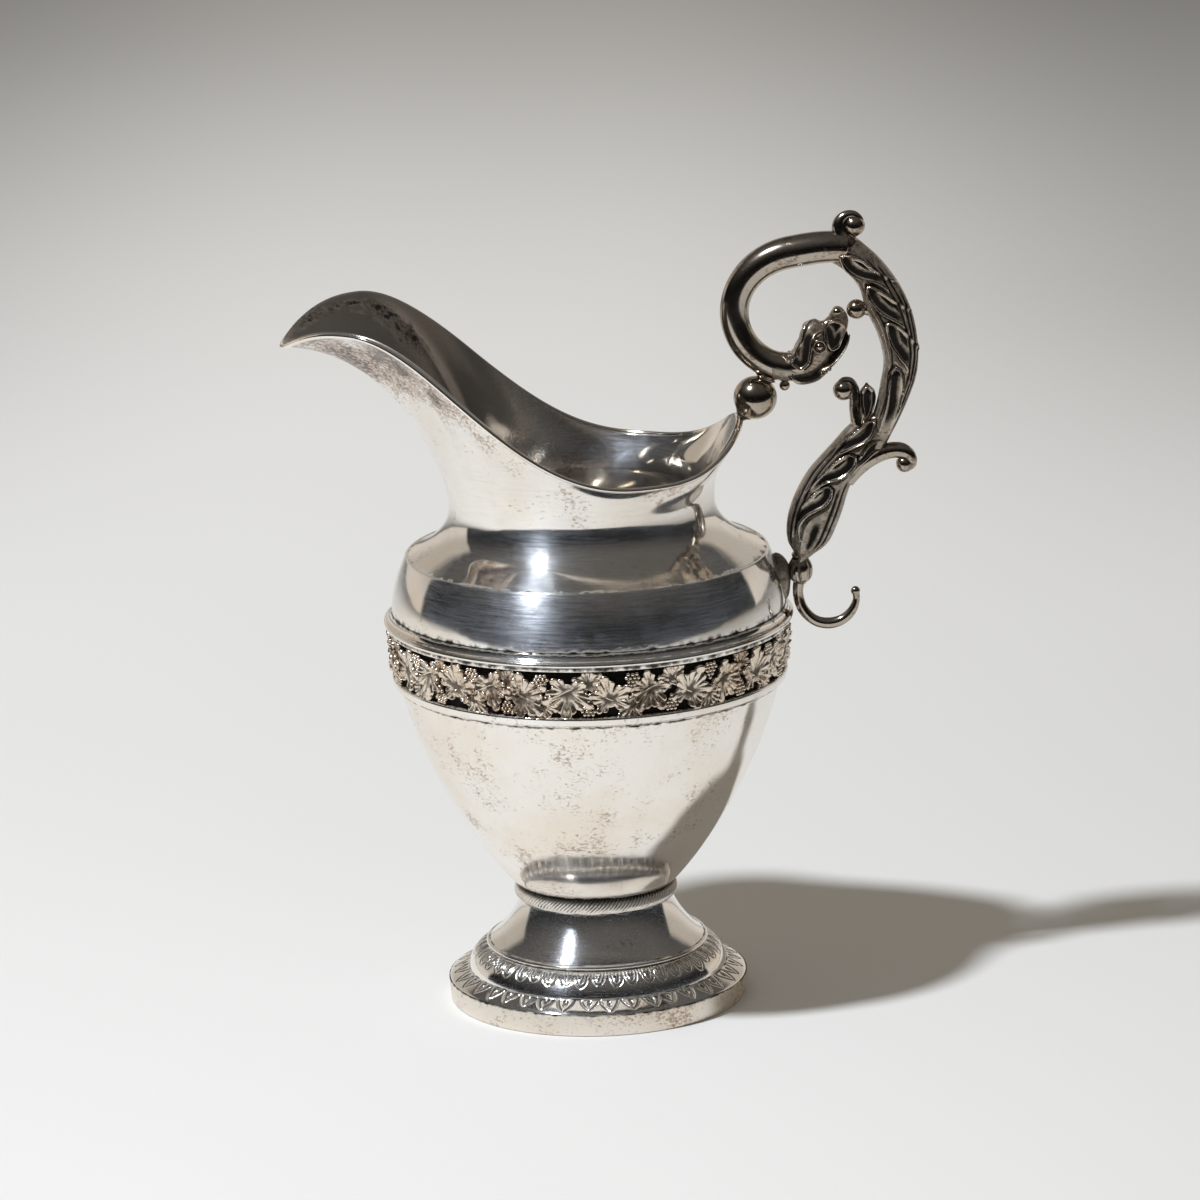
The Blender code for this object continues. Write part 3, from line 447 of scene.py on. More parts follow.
def dents_group():
    """Hand-worked unevenness: slow noise with a little of a quicker one, as a height."""
    group, wires, given, out = new_group(
        "planished_dents", [("Vector", "NodeSocketVector"), ("Scale", "NodeSocketFloat")],
        [("Height", "NodeSocketFloat")])
    slow = wires.noise(given["Vector"], given["Scale"], 1.0, 0.4)
    quick = wires.noise(given["Vector"], wires.times(given["Scale"], 3.7), 1.0, 0.4)
    height = wires.plus(slow, wires.times(quick, 0.18))
    wires.link(height, out, "Height")
    return group


def shared(name, make):
    """Group of that name, made at its first use."""
    return bpy.data.node_groups.get(name) or make()


# Old silver: patterns per metre, depths in metres
SPOT_SCALE = 1000.0
LINE_FINENESS = 2600.0
FILM_SCALE = 38.0
DIRT_SCALE = 420.0
DENT_SCALE = 55.0
DENT_DEPTH = 0.30 * MM
PIT_DEPTH = 0.04 * MM
STAIN_COVER = 0.46


def silver(name, cover=0.35, haze=0.0, soft=0.06, dents=1.0, gloss=None, soil_and_shade=1.0, shade=0.0,
           tint=(1.0, 1.0, 1.0), patches=2.4, spread=0.40):
    """Old silver: warm metal with polishing lines, marks of tarnish, and soiling and painted shade
    in its recesses.

    cover is the share of tarnish, haze the share of skin rubbed by polishing round the axis, soft the
    weight of an even soft reflection, dents the depth of the hand-work, gloss the least roughness,
    soil_and_shade the darkness of recesses, from soiling and painted shade, patches how broken it lies,
    shade the grey of an oxidised skin, tint its colour and spread the roughness of the rubbed skin,
    whose bluish colour is a painted sheen. The marks recess, lining and stain of a piece add soiling
    and painted shade, a darker, rougher skin and more tarnish where they are set."""
    tones = bpy.context.scene.jug_finish
    material = bpy.data.materials.new(name)
    material.use_nodes = True
    wires = Wires(material.node_tree)
    shader = material.node_tree.nodes["Principled BSDF"]
    place = wires.add("ShaderNodeTexCoord").outputs["Object"]
    recess, lining, stain = (wires.add("ShaderNodeAttribute", attribute_name=mark).outputs["Fac"]
                             for mark in MARKS)

    level = wires.plus(wires.times(stain, STAIN_COVER), cover)
    spots = wires.add("ShaderNodeGroup", node_tree=shared("tarnish_spots", spots_group))
    lines = wires.add("ShaderNodeGroup", node_tree=shared("hairlines", hairlines_group))
    uneven = wires.add("ShaderNodeGroup", node_tree=shared("planished_dents", dents_group))
    wires.fill(spots, {"Vector": place, "Scale": SPOT_SCALE, "Cover": level})
    wires.fill(lines, {"Vector": place, "Fineness": LINE_FINENESS, "Share": haze})
    wires.fill(uneven, {"Vector": place, "Scale": DENT_SCALE})
    rubbed_sheen = lines.outputs["Worn"]

    bright, yellow, brown = (tuple(c * (1.0 - shade) * t for c, t in zip(tone, tint))
                             for tone in (tones.bright, tones.film, tones.cloud))
    film = wires.span(wires.noise(place, FILM_SCALE, 5.0, 0.6), 0.40, 0.66)
    colour = wires.blend(film, (*bright, 1.0), (*yellow, 1.0))
    # Rubbed points take a bluish colour: a painted bluish sheen of the cool key light round the
    # highlight.
    colour = wires.blend(rubbed_sheen, colour, (*tones.rubbed_sheen, 1.0))
    colour = wires.blend(wires.times(spots.outputs["Cloud"], 0.78), colour, (*brown, 1.0))
    colour = wires.blend(wires.times(lining, 0.95), colour, (*tones.lining, 1.0))
    colour = wires.blend(wires.times(spots.outputs["Spots"], 0.88), colour, (*tones.speck, 1.0))
    # Recesses take a near-black colour by the recess mark, broken by noise: oxide and soiling in
    # hollows, and painted shade in gaps, under rims and in openings.
    broken = wires.minus(wires.noise(place, DIRT_SCALE, 5.0, 0.65), 0.5)
    between = wires.times(wires.times(recess, wires.minus(1.0, recess)), 4.0)
    patchy = wires.plus(recess, wires.times(wires.times(broken, patches), between))
    oxide_and_shade = wires.times(wires.span(patchy, 0.22, 0.85), soil_and_shade)
    colour = wires.blend(oxide_and_shade, colour, (*tones.oxide_and_shade, 1.0))

    least = gloss or tones.gloss
    rough = wires.span(rubbed_sheen, 0.0, 1.0, least, spread)
    rough = wires.plus(rough, wires.times(lines.outputs["Strays"], 0.9 * haze))
    rough = wires.plus(rough, wires.times(spots.outputs["Cloud"], 0.06))
    rough = wires.plus(rough, wires.times(oxide_and_shade, 0.4))
    rough = wires.plus(rough, wires.times(lining, 0.26))
    metal = wires.minus(1.0, wires.times(oxide_and_shade, 0.9))
    metal = wires.math("MAXIMUM", wires.minus(metal, wires.times(lining, 0.15)), 0.0)
    clean = wires.span(oxide_and_shade, 0.0, 1.0, soft, 0.2 * soft)
    wires.link(colour, shader, "Base Color")
    wires.link(wires.math("MINIMUM", rough, 0.8), shader, "Roughness")
    wires.link(metal, shader, "Metallic")
    wires.link(clean, shader, "Coat Weight")
    shader.inputs["Coat Roughness"].default_value = tones.haze_width
    shader.inputs["Coat IOR"].default_value = 2.0
    shader.inputs["Specular IOR Level"].default_value = 0.12
    if haze > 0.0:
        shader.inputs["Anisotropic"].default_value = 0.92
        shader.inputs["Anisotropic Rotation"].default_value = 0.25

    waves = wires.add("ShaderNodeBump", {"Strength": 1.0, "Distance": DENT_DEPTH * dents,
                                         "Height": uneven.outputs["Height"]})
    pits = wires.add("ShaderNodeBump", {
        "Strength": 0.3, "Distance": PIT_DEPTH, "Normal": waves.outputs[0],
        "Height": wires.minus(1.0, spots.outputs["Spots"])})
    wires.link(pits.outputs[0], shader, "Normal")
    return material


def spin_about(centre, lean):
    """Matrix and shift that stand an upright turned shape at a plane point, leaning towards +x."""
    turn = np.array(Matrix.Rotation(lean, 3, "Y"))
    return turn, (centre[0], 0.0, centre[1])


def globe(centre, radius, rows=14, columns=28, y=0.0):
    """Sphere about a point of the handle's plane: latitude rows, with fans at the poles."""
    v = np.linspace(0.06, math.pi - 0.06, rows)
    outline = np.stack((radius * np.sin(v), -radius * np.cos(v)), axis=1)
    return moved(skin(spun(outline, columns), caps=True), shift=(centre[0], y, centre[1]))


def tube(path, radius, depth=None, columns=32, recess=None):
    """Oval rings square to a line in the handle's plane: p + n r cos a, and d sin a across it."""
    normal = normals_2d(path)
    radius = np.broadcast_to(radius, len(path))
    depth = radius if depth is None else depth
    a = turns(columns)
    flat = path[:, None, :] + normal[:, None, :] * (radius[:, None] * np.cos(a))[:, :, None]
    y = np.asarray(depth)[:, None] * np.sin(a)
    grid = np.stack((flat[:, :, 0], np.broadcast_to(y, flat.shape[:2]), flat[:, :, 1]), axis=2)
    return skin(grid, caps=True, recess=recess)


def drop_tube(points, count=60, columns=28):
    """Tube through points (x, z, radius) whose far end closes as a half ball."""
    line = through(points, count)
    path, radius = line[:, :2], line[:, 2]
    ahead = path[-1] - path[-2]
    ahead = ahead / np.linalg.norm(ahead)
    turn = np.linspace(0.0, 0.5 * math.pi - 0.08, 10)[1:]
    end = path[-1] + ahead * (radius[-1] * np.sin(turn))[:, None]
    path = np.concatenate((path, end))
    radius = np.concatenate((radius, radius[-1] * np.cos(turn)))
    return tube(path, radius, columns=columns)


class JugFinish(bpy.types.PropertyGroup):
    """Colours and gloss of the old silver."""
    bright: FloatVectorProperty(name="Bright silver", description="Colour of the polished metal",
                                subtype="COLOR", size=3, default=(0.97, 0.925, 0.86))
    film: FloatVectorProperty(name="Tarnish film", description="Colour where a thin film has grown",
                              subtype="COLOR", size=3, default=(0.91, 0.825, 0.71))
    cloud: FloatVectorProperty(name="Tarnish cloud", description="Colour round the dark specks",
                               subtype="COLOR", size=3, default=(0.45, 0.325, 0.235))
    speck: FloatVectorProperty(name="Tarnish speck", description="Colour of the dark specks",
                               subtype="COLOR", size=3, default=(0.09, 0.066, 0.052))
    # Bluish colour of the polish-rubbed points: a painted sheen of the cool key light.
    rubbed_sheen: FloatVectorProperty(name="Worn skin", description="Colour of the skin worn by polishing",
                              subtype="COLOR", size=3, default=(0.76, 0.82, 0.93))
    lining: FloatVectorProperty(name="Lining", description="Colour of the dull inside of the spout",
                                subtype="COLOR", size=3, default=(0.18, 0.155, 0.132))
    # Near-black of the recesses: oxide and soiling, and painted shade in gaps and openings.
    oxide_and_shade: FloatVectorProperty(name="Grime", description="Colour of the dirt in recesses",
                               subtype="COLOR", size=3, default=(0.008, 0.0062, 0.005))
    gloss: FloatProperty(name="Least roughness", description="Roughness of the clean polished metal",
                         default=0.075, min=0.0, max=1.0, subtype="FACTOR")
    haze_width: FloatProperty(name="Haze width", description="Roughness of the soft reflection",
                              default=0.38, min=0.0, max=1.0, subtype="FACTOR")


class JugSizes(bpy.types.PropertyGroup):
    """Counts and depths of the ornament."""
    turn_steps: IntProperty(name="Turned steps", description="Facets round a turned piece",
                            default=360, min=48)
    rope_strands: IntProperty(name="Rope strands", description="Strands round the twisted wire",
                              default=126, min=8)
    dome_leaves: IntProperty(name="Dome leaves", description="Engraved leaves round the dome",
                             default=46, min=8)
    flange_tips: IntProperty(name="Flange tips", description="Engraved leaf tips round the flange",
                             default=40, min=8)
    engraving: FloatProperty(name="Engraving depth", description="Depth of the engraved lines in mm",
                             default=0.32, min=0.0)
    vine_leaves: IntProperty(name="Vine leaves", description="Leaves round the frieze",
                             default=30, min=8)
    vine_relief: FloatProperty(name="Vine relief", description="Height of the leaves in millimetres",
                               default=1.15, min=0.1)


class JugStudio(bpy.types.PropertyGroup):
    """Camera and light."""
    key_power: FloatProperty(name="Key light", description="Power of the key light",
                             default=147.0, min=0.0, unit="POWER")
    key_size: FloatProperty(name="Key size", description="Radius of the key light",
                            default=0.075, min=0.01, unit="LENGTH")
    key_turn: FloatProperty(name="Key turn", description="Key light to the left of the camera",
                            default=math.radians(54.0), subtype="ANGLE")
    key_rise: FloatProperty(name="Key rise", description="Key light above the table",
                            default=math.radians(60.0), subtype="ANGLE")
    key_distance: FloatProperty(name="Key distance", description="Key light from the jug",
                                default=1.8, unit="LENGTH")
    camera_rise: FloatProperty(name="Camera rise", description="Camera above the horizon",
                               default=math.radians(14.28), subtype="ANGLE")
    camera_roll: FloatProperty(name="Camera roll", description="Turn of the camera about its view",
                               default=math.radians(-1.5), subtype="ANGLE")
    camera_distance: FloatProperty(name="Camera distance", description="Camera from its target",
                                   default=1.5, unit="LENGTH")
    lens: FloatProperty(name="Lens", description="Focal length on a 36 mm sensor",
                        default=184.185, min=1.0, unit="CAMERA")
    floor: FloatVectorProperty(name="Table", description="Colour of the table",
                               subtype="COLOR", size=3, default=(0.85, 0.85, 0.85))
    # Painted light: the table's colour is dimmed round the jug and at its far end, standing for the key
    # light's fall-off.
    near_table_light: FloatProperty(name="Table, near", description="Tone of the table round the jug",
                              default=0.82, min=0.0, max=1.0, subtype="FACTOR")
    far_table_light: FloatProperty(name="Table, end", description="Tone of the table at its far end",
                             default=0.66, min=0.0)
    floor_front: FloatProperty(name="Table front", description="Front edge of the table from the jug",
                               default=0.45, min=0.0, unit="LENGTH")


def band_seat(z):
    """Radius of the bowl behind the band: straight from the bowl's top to the belt."""
    return BOWL_TOP_RADIUS + (BELT_RADIUS - BOWL_TOP_RADIUS) * (z - BAND_Z) / (BELT_Z - BAND_Z)


def line_mark(distance, width):
    """Engraved line: 1 on the line, falling to 0 at its width."""
    return unit(1.0 - np.abs(distance) / width)


def dome_engraving(steps, along_flange, along_dome, sizes):
    """Engraved depth per row and step: leaf tips on the flange and water leaves on the dome.

    With a the place across one leaf from -0.5 to 0.5 and b the place along it, a tip is the line
    |a| = 0.44 (1 - b^1.3) with a drop inside; a water leaf is the line |a| = 0.45 (1 - b^2.4)^(1/2)
    with a like one inside and a vein."""
    angle = np.arange(steps)[None, :] / steps
    rng = np.random.default_rng(11)

    def across(count):
        place = angle * count
        which = np.floor(place).astype(int)
        shift = rng.uniform(-0.10, 0.10, count)[which]
        reach = rng.uniform(0.86, 1.12, count)[which]
        return place - which - 0.5 + shift, reach

    a, reach = across(sizes.flange_tips)
    b = along_flange[:, None] / reach
    tip = line_mark(np.abs(a) - 0.44 * unit(1.0 - np.clip(b, 0.0, 9.0) ** 1.3), 0.060) * (b < 1.03)
    drop = unit(1.5 - np.hypot(a * 2.4, (b - 0.25) * 1.3) / 0.20)
    stem = line_mark(a, 0.035) * ((b > 0.40) & (b < 0.66))
    flange = np.maximum.reduce((tip, drop, 0.7 * stem)) * (along_flange[:, None] > 0.0)

    a, reach = across(sizes.dome_leaves)
    b = np.clip(along_dome[:, None], 0.0, 9.0) / reach
    outer = line_mark(np.abs(a) - 0.45 * np.sqrt(unit(1.0 - b ** 2.4)), 0.060) * (b < 1.02)
    inner = line_mark(np.abs(a) - 0.25 * np.sqrt(unit(1.0 - (b / 0.76) ** 2)), 0.055) * (b < 0.78)
    vein = line_mark(a, 0.035) * ((b > 0.1) & (b < 0.5))
    dome = np.maximum.reduce((outer, inner, 0.8 * vein))
    return np.maximum(flange, dome * (along_dome[:, None] > 0.0))


class JUG_OT_foot(bpy.types.Operator):
    """Plinth, engraved dome and spun stem of the foot"""
    bl_idname = "jug.foot"
    bl_label = "Foot"

    def execute(self, context):
        sizes = context.scene.jug_sizes
        self.plinth(silver("plinth_silver", cover=0.30, soft=0.3, dents=0.8, gloss=0.42, shade=0.11,
                           tint=(1.0, 0.965, 0.925)))
        self.dome(sizes, silver("engraved_silver", cover=0.20, haze=0.13, spread=0.27, dents=0.7,
                                soil_and_shade=0.95))
        self.stem(silver("foot_silver", cover=0.20, haze=0.20, spread=0.27, dents=0.8))
        return {"FINISHED"}

    def plinth(self, finish):
        """Upright wall of the foot: a rounded strip, spun, a hair out of true."""
        inside = FOOT_RADIUS - PLINTH_WALL
        top = PLINTH_TOP_Z - 0.15
        outline = rounded([(inside, 0.0), (FOOT_RADIUS - PLINTH_DRAFT, 0.0), (FOOT_RADIUS, top),
                           (inside, top)], 0.45)
        a = turns(bpy.context.scene.jug_sizes.turn_steps)
        out = (0.07 * np.sin(2 * a + 1.0) + 0.05 * np.sin(5 * a))[None, :] - 0.08
        soil_and_shade = 0.8 * smooth(top - 0.7, top, outline[:, 1])
        add_piece("plinth", [turned(outline, soil_and_shade, out)], finish, "plinth_wall")

    def dome(self, sizes, finish):
        """Sloping flange and dome from the edge up to the stem's seat, cut by the engraved lines."""
        steps, low, high = 960, 26, 44
        edge = np.array((FOOT_RADIUS - 0.30, PLINTH_TOP_Z - 0.30))
        base = np.array((DOME_RADIUS + 0.3, DOME_BASE_Z - 0.10))
        crown = np.array((STEM_RADIUS + 0.4, DOME_TOP_Z))
        flange = bezier(edge, edge + (-0.15, 0.75), base + (2.6, -1.20), base, low)
        dome = bezier(base, base + (-0.55, 2.9), crown + (2.7, -1.0), crown, high)
        seat = bezier(crown, crown + (-0.6, 0.2), crown + (-1.8, 0.2), crown + (-3.0, 0.2), 5)
        line = np.concatenate((flange, dome[1:], seat[1:]))
        along_flange = np.zeros(len(line))
        along_flange[:low] = np.linspace(1.50, 0.0, low)
        along_dome = np.zeros(len(line))
        along_dome[low - 1:low + high - 1] = np.linspace(1.62, 0.03, high)
        depth = dome_engraving(steps, along_flange, along_dome, sizes)
        a = turns(steps)
        inward = normals_2d(line)
        grid = spun(line, steps)
        sink = sizes.engraving * depth
        radial = np.stack((np.cos(a), np.sin(a)), axis=1)
        grid[:, :, :2] += (inward[:, :1] * sink)[:, :, None] * radial[None]
        grid[:, :, 2] += inward[:, 1:] * sink
        inner = (line + inward * WALL)[::6][::-1]
        lining = spun(inner, steps)
        corner = 0.8 * bump(np.arange(len(line)), low - 0.5, 1.3)[:, None]
        soil_and_shade = np.concatenate((np.maximum(0.85 * depth, corner), np.zeros((len(inner), steps))))
        sheet = skin(np.concatenate((grid, lining)), wrap_rows=True, recess=soil_and_shade)
        add_piece("foot_dome_engraved", [sheet], finish, "foot_dome")

    def stem(self, finish):
        """Hollow flare of the stem over a bead; a cubic curve from the bead to the rope ring."""
        lip = [(STEM_RADIUS - 0.25, STEM_Z - 0.1), (STEM_RADIUS + 0.2, STEM_Z + 0.05),
               (STEM_RADIUS + 0.42, STEM_Z + 0.42), (STEM_RADIUS + 0.22, STEM_Z + 0.85),
               (STEM_RADIUS - 0.25, STEM_Z + 1.02)]
        start = np.array((STEM_RADIUS - 0.45, STEM_Z + 1.05))
        top = np.array((STEM_TOP_RADIUS, STEM_TOP_Z + 0.7))
        flare = bezier(start, start + (-2.4, 1.6), top + (0.9, -4.3), top, 60)
        line = np.concatenate((through(lip, 18), flare))
        outline = walled(line, WALL, 6)
        k = np.arange(len(outline))
        soil_and_shade = 0.7 * bump(k, 18.0, 1.6) + 0.6 * bump(k, 0.0, 2.0) + 0.8 * bump(k, 77.0, 3.0)
        add_piece("foot_stem_spun", [turned(outline, soil_and_shade)], finish, "foot_stem")


class JUG_OT_rope_ring(bpy.types.Operator):
    """Twisted wire between the stem and the bowl"""
    bl_idname = "jug.rope_ring"
    bl_label = "Rope ring"

    def execute(self, context):
        """Ring whose wire is grooved by the strands: the groove follows n a - 9 w, where a runs round
        the ring and w round the wire; the lower quarter is smooth where solder has filled it."""
        strands = context.scene.jug_sizes.rope_strands
        steps = strands * 8
        a = turns(steps)[:, None]
        w = turns(60)[None, :]
        ridge = np.abs(np.sin(0.5 * (strands * a - 9.0 * w)))
        filled = 1.0 - smooth(-0.95, -0.55, np.sin(w))
        groove = (1.0 - ridge) ** 1.8 * (1.0 - filled) * smooth(-0.5, 0.0, np.cos(w))
        uneven = 0.10 * filled * np.sin(7.0 * a) * np.sin(11.0 * a + 1.0)
        wire = ROPE_WIRE + 0.12 - 0.55 * groove + uneven
        out = ROPE_RADIUS + 0.12 + wire * np.cos(w)
        grid = np.stack((out * np.cos(a), out * np.sin(a), ROPE_Z + wire * np.sin(w)), axis=2)
        soil_and_shade = unit(0.9 * groove + 0.35 * smooth(0.75, 1.0, np.sin(w)))
        add_piece("rope_ring_twisted", [skin(grid, wrap_rows=True, recess=soil_and_shade)],
                  silver("rope_silver", cover=0.22, soft=0.3, dents=0.0, gloss=0.28, soil_and_shade=0.85),
                  "rope_ring")
        return {"FINISHED"}


class JUG_OT_bowl(bpy.types.Operator):
    """Raised bowl with its flat base and the wall behind the band"""
    bl_idname = "jug.bowl"
    bl_label = "Bowl"

    def execute(self, context):
        steps = context.scene.jug_sizes.turn_steps
        base = np.array((ROPE_RADIUS + 0.6, BOWL_Z))
        side = base + (1.8, 1.1)
        top = np.array((BOWL_TOP_RADIUS, BAND_Z))
        turn = bezier(base, base + (0.9, 0.05), side + (-0.5, -0.5), side, 8)
        belly = bezier(side, side + (11.0, 12.0), top - (4.2, 18.0), top, 90)
        wall = np.linspace((BOWL_TOP_RADIUS, BAND_Z), (BELT_RADIUS, BELT_Z), 6)
        flat = np.stack((np.linspace(0.5, base[0], 8), np.full(8, BOWL_Z)), axis=1)
        line = np.concatenate((flat[:-1], turn, belly[1:], wall[1:]))
        outline = np.concatenate((line, (line + normals_2d(line) * WALL)[::3][::-1]))
        z = outline[:, 1]
        outer = np.arange(len(outline)) < len(line)
        # Painted shadow on the bowl just under the band's overhang, and a dark seam where the base
        # meets the rope ring.
        band_shadow_and_seam = 0.7 * smooth(BAND_Z - 0.8, BAND_Z - 0.1, z) + bump(z, BOWL_Z, 0.7)
        soil_and_shade = np.where(outer, band_shadow_and_seam, 0.0)[:, None]
        add_piece("bowl_raised", [skin(spun(outline, steps), caps=True, recess=unit(soil_and_shade))],
                  silver("bowl_silver", cover=0.27, haze=0.05), "bowl")
        return {"FINISHED"}


class JUG_OT_band(bpy.types.Operator):
    """Mouldings above and below the frieze"""
    bl_idname = "jug.band"
    bl_label = "Band mouldings"

    def execute(self, context):
        finish = silver("moulding_silver", cover=0.24, haze=0.06, dents=0.35, soil_and_shade=0.95)
        seat = band_seat(BAND_Z) - 0.2
        low, high = BAND_Z, FRIEZE_Z + 0.1
        face = BOWL_TOP_RADIUS + 1.75
        outline = rounded([(seat, low + 0.15), (face - 0.75, low + 0.2), (face - 0.5, low + 0.75),
                           (face, low + 0.95), (face + 0.1, high - 0.35), (face - 0.3, high),
                           (seat, high)], 0.4)
        z = outline[:, 1]
        # Darker at the fillet's underside, where it stands proud of the bowl: painted shadow. Darker
        # too at its top, where it meets the frieze.
        soil_and_shade = unit(0.7 * bump(z, low + 0.40, 0.24) + 0.5 * bump(z, high, 0.3))
        add_piece("band_fillet", [turned(outline, soil_and_shade)], finish, "lower_band_moulding")

        low, high = UPPER_BAND_Z - 0.1, UPPER_BAND_TOP_Z
        seat = BELT_RADIUS - 0.3
        bead = [(BEAD_RADIUS - 0.55, low + 1.05), (BEAD_RADIUS - 0.02, low + 1.35),
                (BEAD_RADIUS, low + 1.9), (BEAD_RADIUS - 0.35, low + 2.3),
                (BEAD_RADIUS - 0.75, low + 2.45)]
        hollow = bezier((BEAD_RADIUS - 0.8, low + 2.5), (BEAD_RADIUS - 1.3, low + 2.7),
                        (BELT_RADIUS + 0.25, low + 3.2), (BELT_RADIUS + 0.15, high + 0.1), 14)
        base = [(seat, low), (BEAD_RADIUS - 0.75, low), (BEAD_RADIUS - 0.6, low + 0.2),
                (BEAD_RADIUS - 0.62, low + 0.8)]
        outline = np.concatenate((base, through(bead, 26), hollow, [(seat, high + 0.1)]))
        z = outline[:, 1]
        soil_and_shade = unit(bump(z, low + 0.93, 0.16) + 0.75 * smooth(high - 0.7, high, z)
                    + 0.45 * bump(z, low + 0.4, 0.4) + 0.5 * bump(z, low + 2.5, 0.12))
        add_piece("band_bead", [turned(outline, soil_and_shade)], finish, "upper_band_moulding")
        return {"FINISHED"}


def on_band(u, v, height, turn, middle):
    """Bends flat frieze points (u along, v up, height out) round the bowl at an angle."""
    z = np.clip(middle + v, FRIEZE_Z + 0.05, FRIEZE_TOP_Z - 0.05)
    r = band_seat(z) + FRIEZE_GROUND + height
    angle = turn + u / BELT_RADIUS
    return np.stack((r * np.cos(angle), r * np.sin(angle), z), axis=-1)


def vine_leaf(turn, middle, heading, size, relief, rng, lift=0.0):
    """Vine leaf of five lobes, each of a big and two small round lobelets, on a polar grid.

    A lobelet of radius r at distance d and angle p is met by the ray at angle a at
    d cos(a - p) + sqrt(r^2 - d^2 sin^2(a - p)); the edge is the farthest of these and of a round
    middle. With s from 0 on a lobelet's axis to 1 at its side, the blade swells as cos(pi s / 2),
    curls up at its rim and sinks to its stalk and in the cuts."""
    columns = 190
    a = turns(columns) - math.pi
    lobe = np.radians([-128.0, -64.0, 0.0, 64.0, 128.0]) + rng.uniform(-0.10, 0.10, 5)
    reach = np.array([0.82, 1.0, 1.14, 1.0, 0.82]) * rng.uniform(0.92, 1.08, 5)
    p = np.concatenate((lobe, lobe - 0.31, lobe + 0.31))
    d = np.concatenate((0.80 * reach, 0.60 * reach, 0.60 * reach))
    r = np.concatenate((0.20 * reach, 0.17 * reach, 0.17 * reach))
    off = d[None, :] * np.sin(a[:, None] - p[None, :])
    ahead = np.cos(a[:, None] - p[None, :]) > 0.0
    room = r[None, :] ** 2 - off ** 2
    reached = d * np.cos(a[:, None] - p) + np.sqrt(np.maximum(room, 0.0))
    met = np.where((room > 0.0) & ahead, reached, 0.0)
    which = met.argmax(1)
    row = np.arange(columns)
    core = 0.36
    edge = np.maximum(met[row, which], core)
    s = np.where(met[row, which] > core, np.abs(off[row, which]) / r[which], 1.0)
    beside = np.abs((a[:, None] - lobe[None, :] + math.pi) % TAU - math.pi).min(1)
    rho = np.linspace(0.06, 1.0, 13)[:, None]
    far = rho * edge[None, :]
    outward = smooth(0.05, 0.30, far)
    cut = (smooth(0.70, 1.0, s) ** 2)[None, :] * smooth(0.30, 0.55, far)
    vein = np.exp(-(beside[None, :] * far / 0.055) ** 2) * (1.0 - smooth(0.55, 0.85, far))
    swell = np.cos(0.5 * math.pi * unit(s))[None, :] * smooth(0.30, 0.70, far)
    curl = smooth(0.74, 0.95, rho) * (1.0 - 0.7 * smooth(0.8, 1.0, s))[None, :]
    tilt = 0.26 * np.sin(a - heading)[None, :] * rho
    blade = 0.20 + 0.22 * outward + 0.44 * swell + 0.18 * curl - 0.26 * cut - 0.12 * vein + tilt
    height = lift + relief * blade
    u, v = (far * size * f(a)[None, :] for f in (np.sin, np.cos))
    u = np.concatenate((u, 0.97 * u[-1:]))
    v = np.concatenate((v, 0.97 * v[-1:])) - 0.10 * size
    height = np.concatenate((height, np.full((1, columns), -0.15)))
    c, t = math.cos(heading), math.sin(heading)
    points = on_band(u * c + v * t, -u * t + v * c, height, turn, middle)
    hollow = 0.80 * cut + 0.40 * vein + 0.70 * (1.0 - outward) + 0.34 * (1.0 - swell) * (1.0 - curl)
    soil_and_shade = np.concatenate((unit(hollow), np.ones((1, columns))))
    return skin(points, caps=True, recess=soil_and_shade)


def grape_cluster(turn, middle, way, rng):
    """Bunch of grapes in rows of 3, 4, 3, 2 and 1, each a small ball proud of the ground."""
    rows = (3, 4, 3, 2, 1)
    u = np.concatenate([np.arange(n) - 0.5 * (n - 1) for n in rows]) * 0.98
    v = np.concatenate([np.full(n, -k * 0.86) for k, n in enumerate(rows)]) * way
    t = np.linspace(0.35, 2.0, 4)
    a = turns(8)
    patches = []
    for x, y in zip(u + rng.uniform(-0.08, 0.08, len(u)), v + rng.uniform(-0.06, 0.06, len(v))):
        r = GRAPE_RADIUS * np.sin(t)[:, None]
        height = 0.72 + GRAPE_RADIUS * np.cos(t)[:, None] + 0.0 * a
        points = on_band(x + r * np.cos(a), y + r * np.sin(a), height, turn, middle)
        patches.append(skin(points, caps=True, recess=0.75 * smooth(1.0, 1.9, t)[:, None]))
    return patches


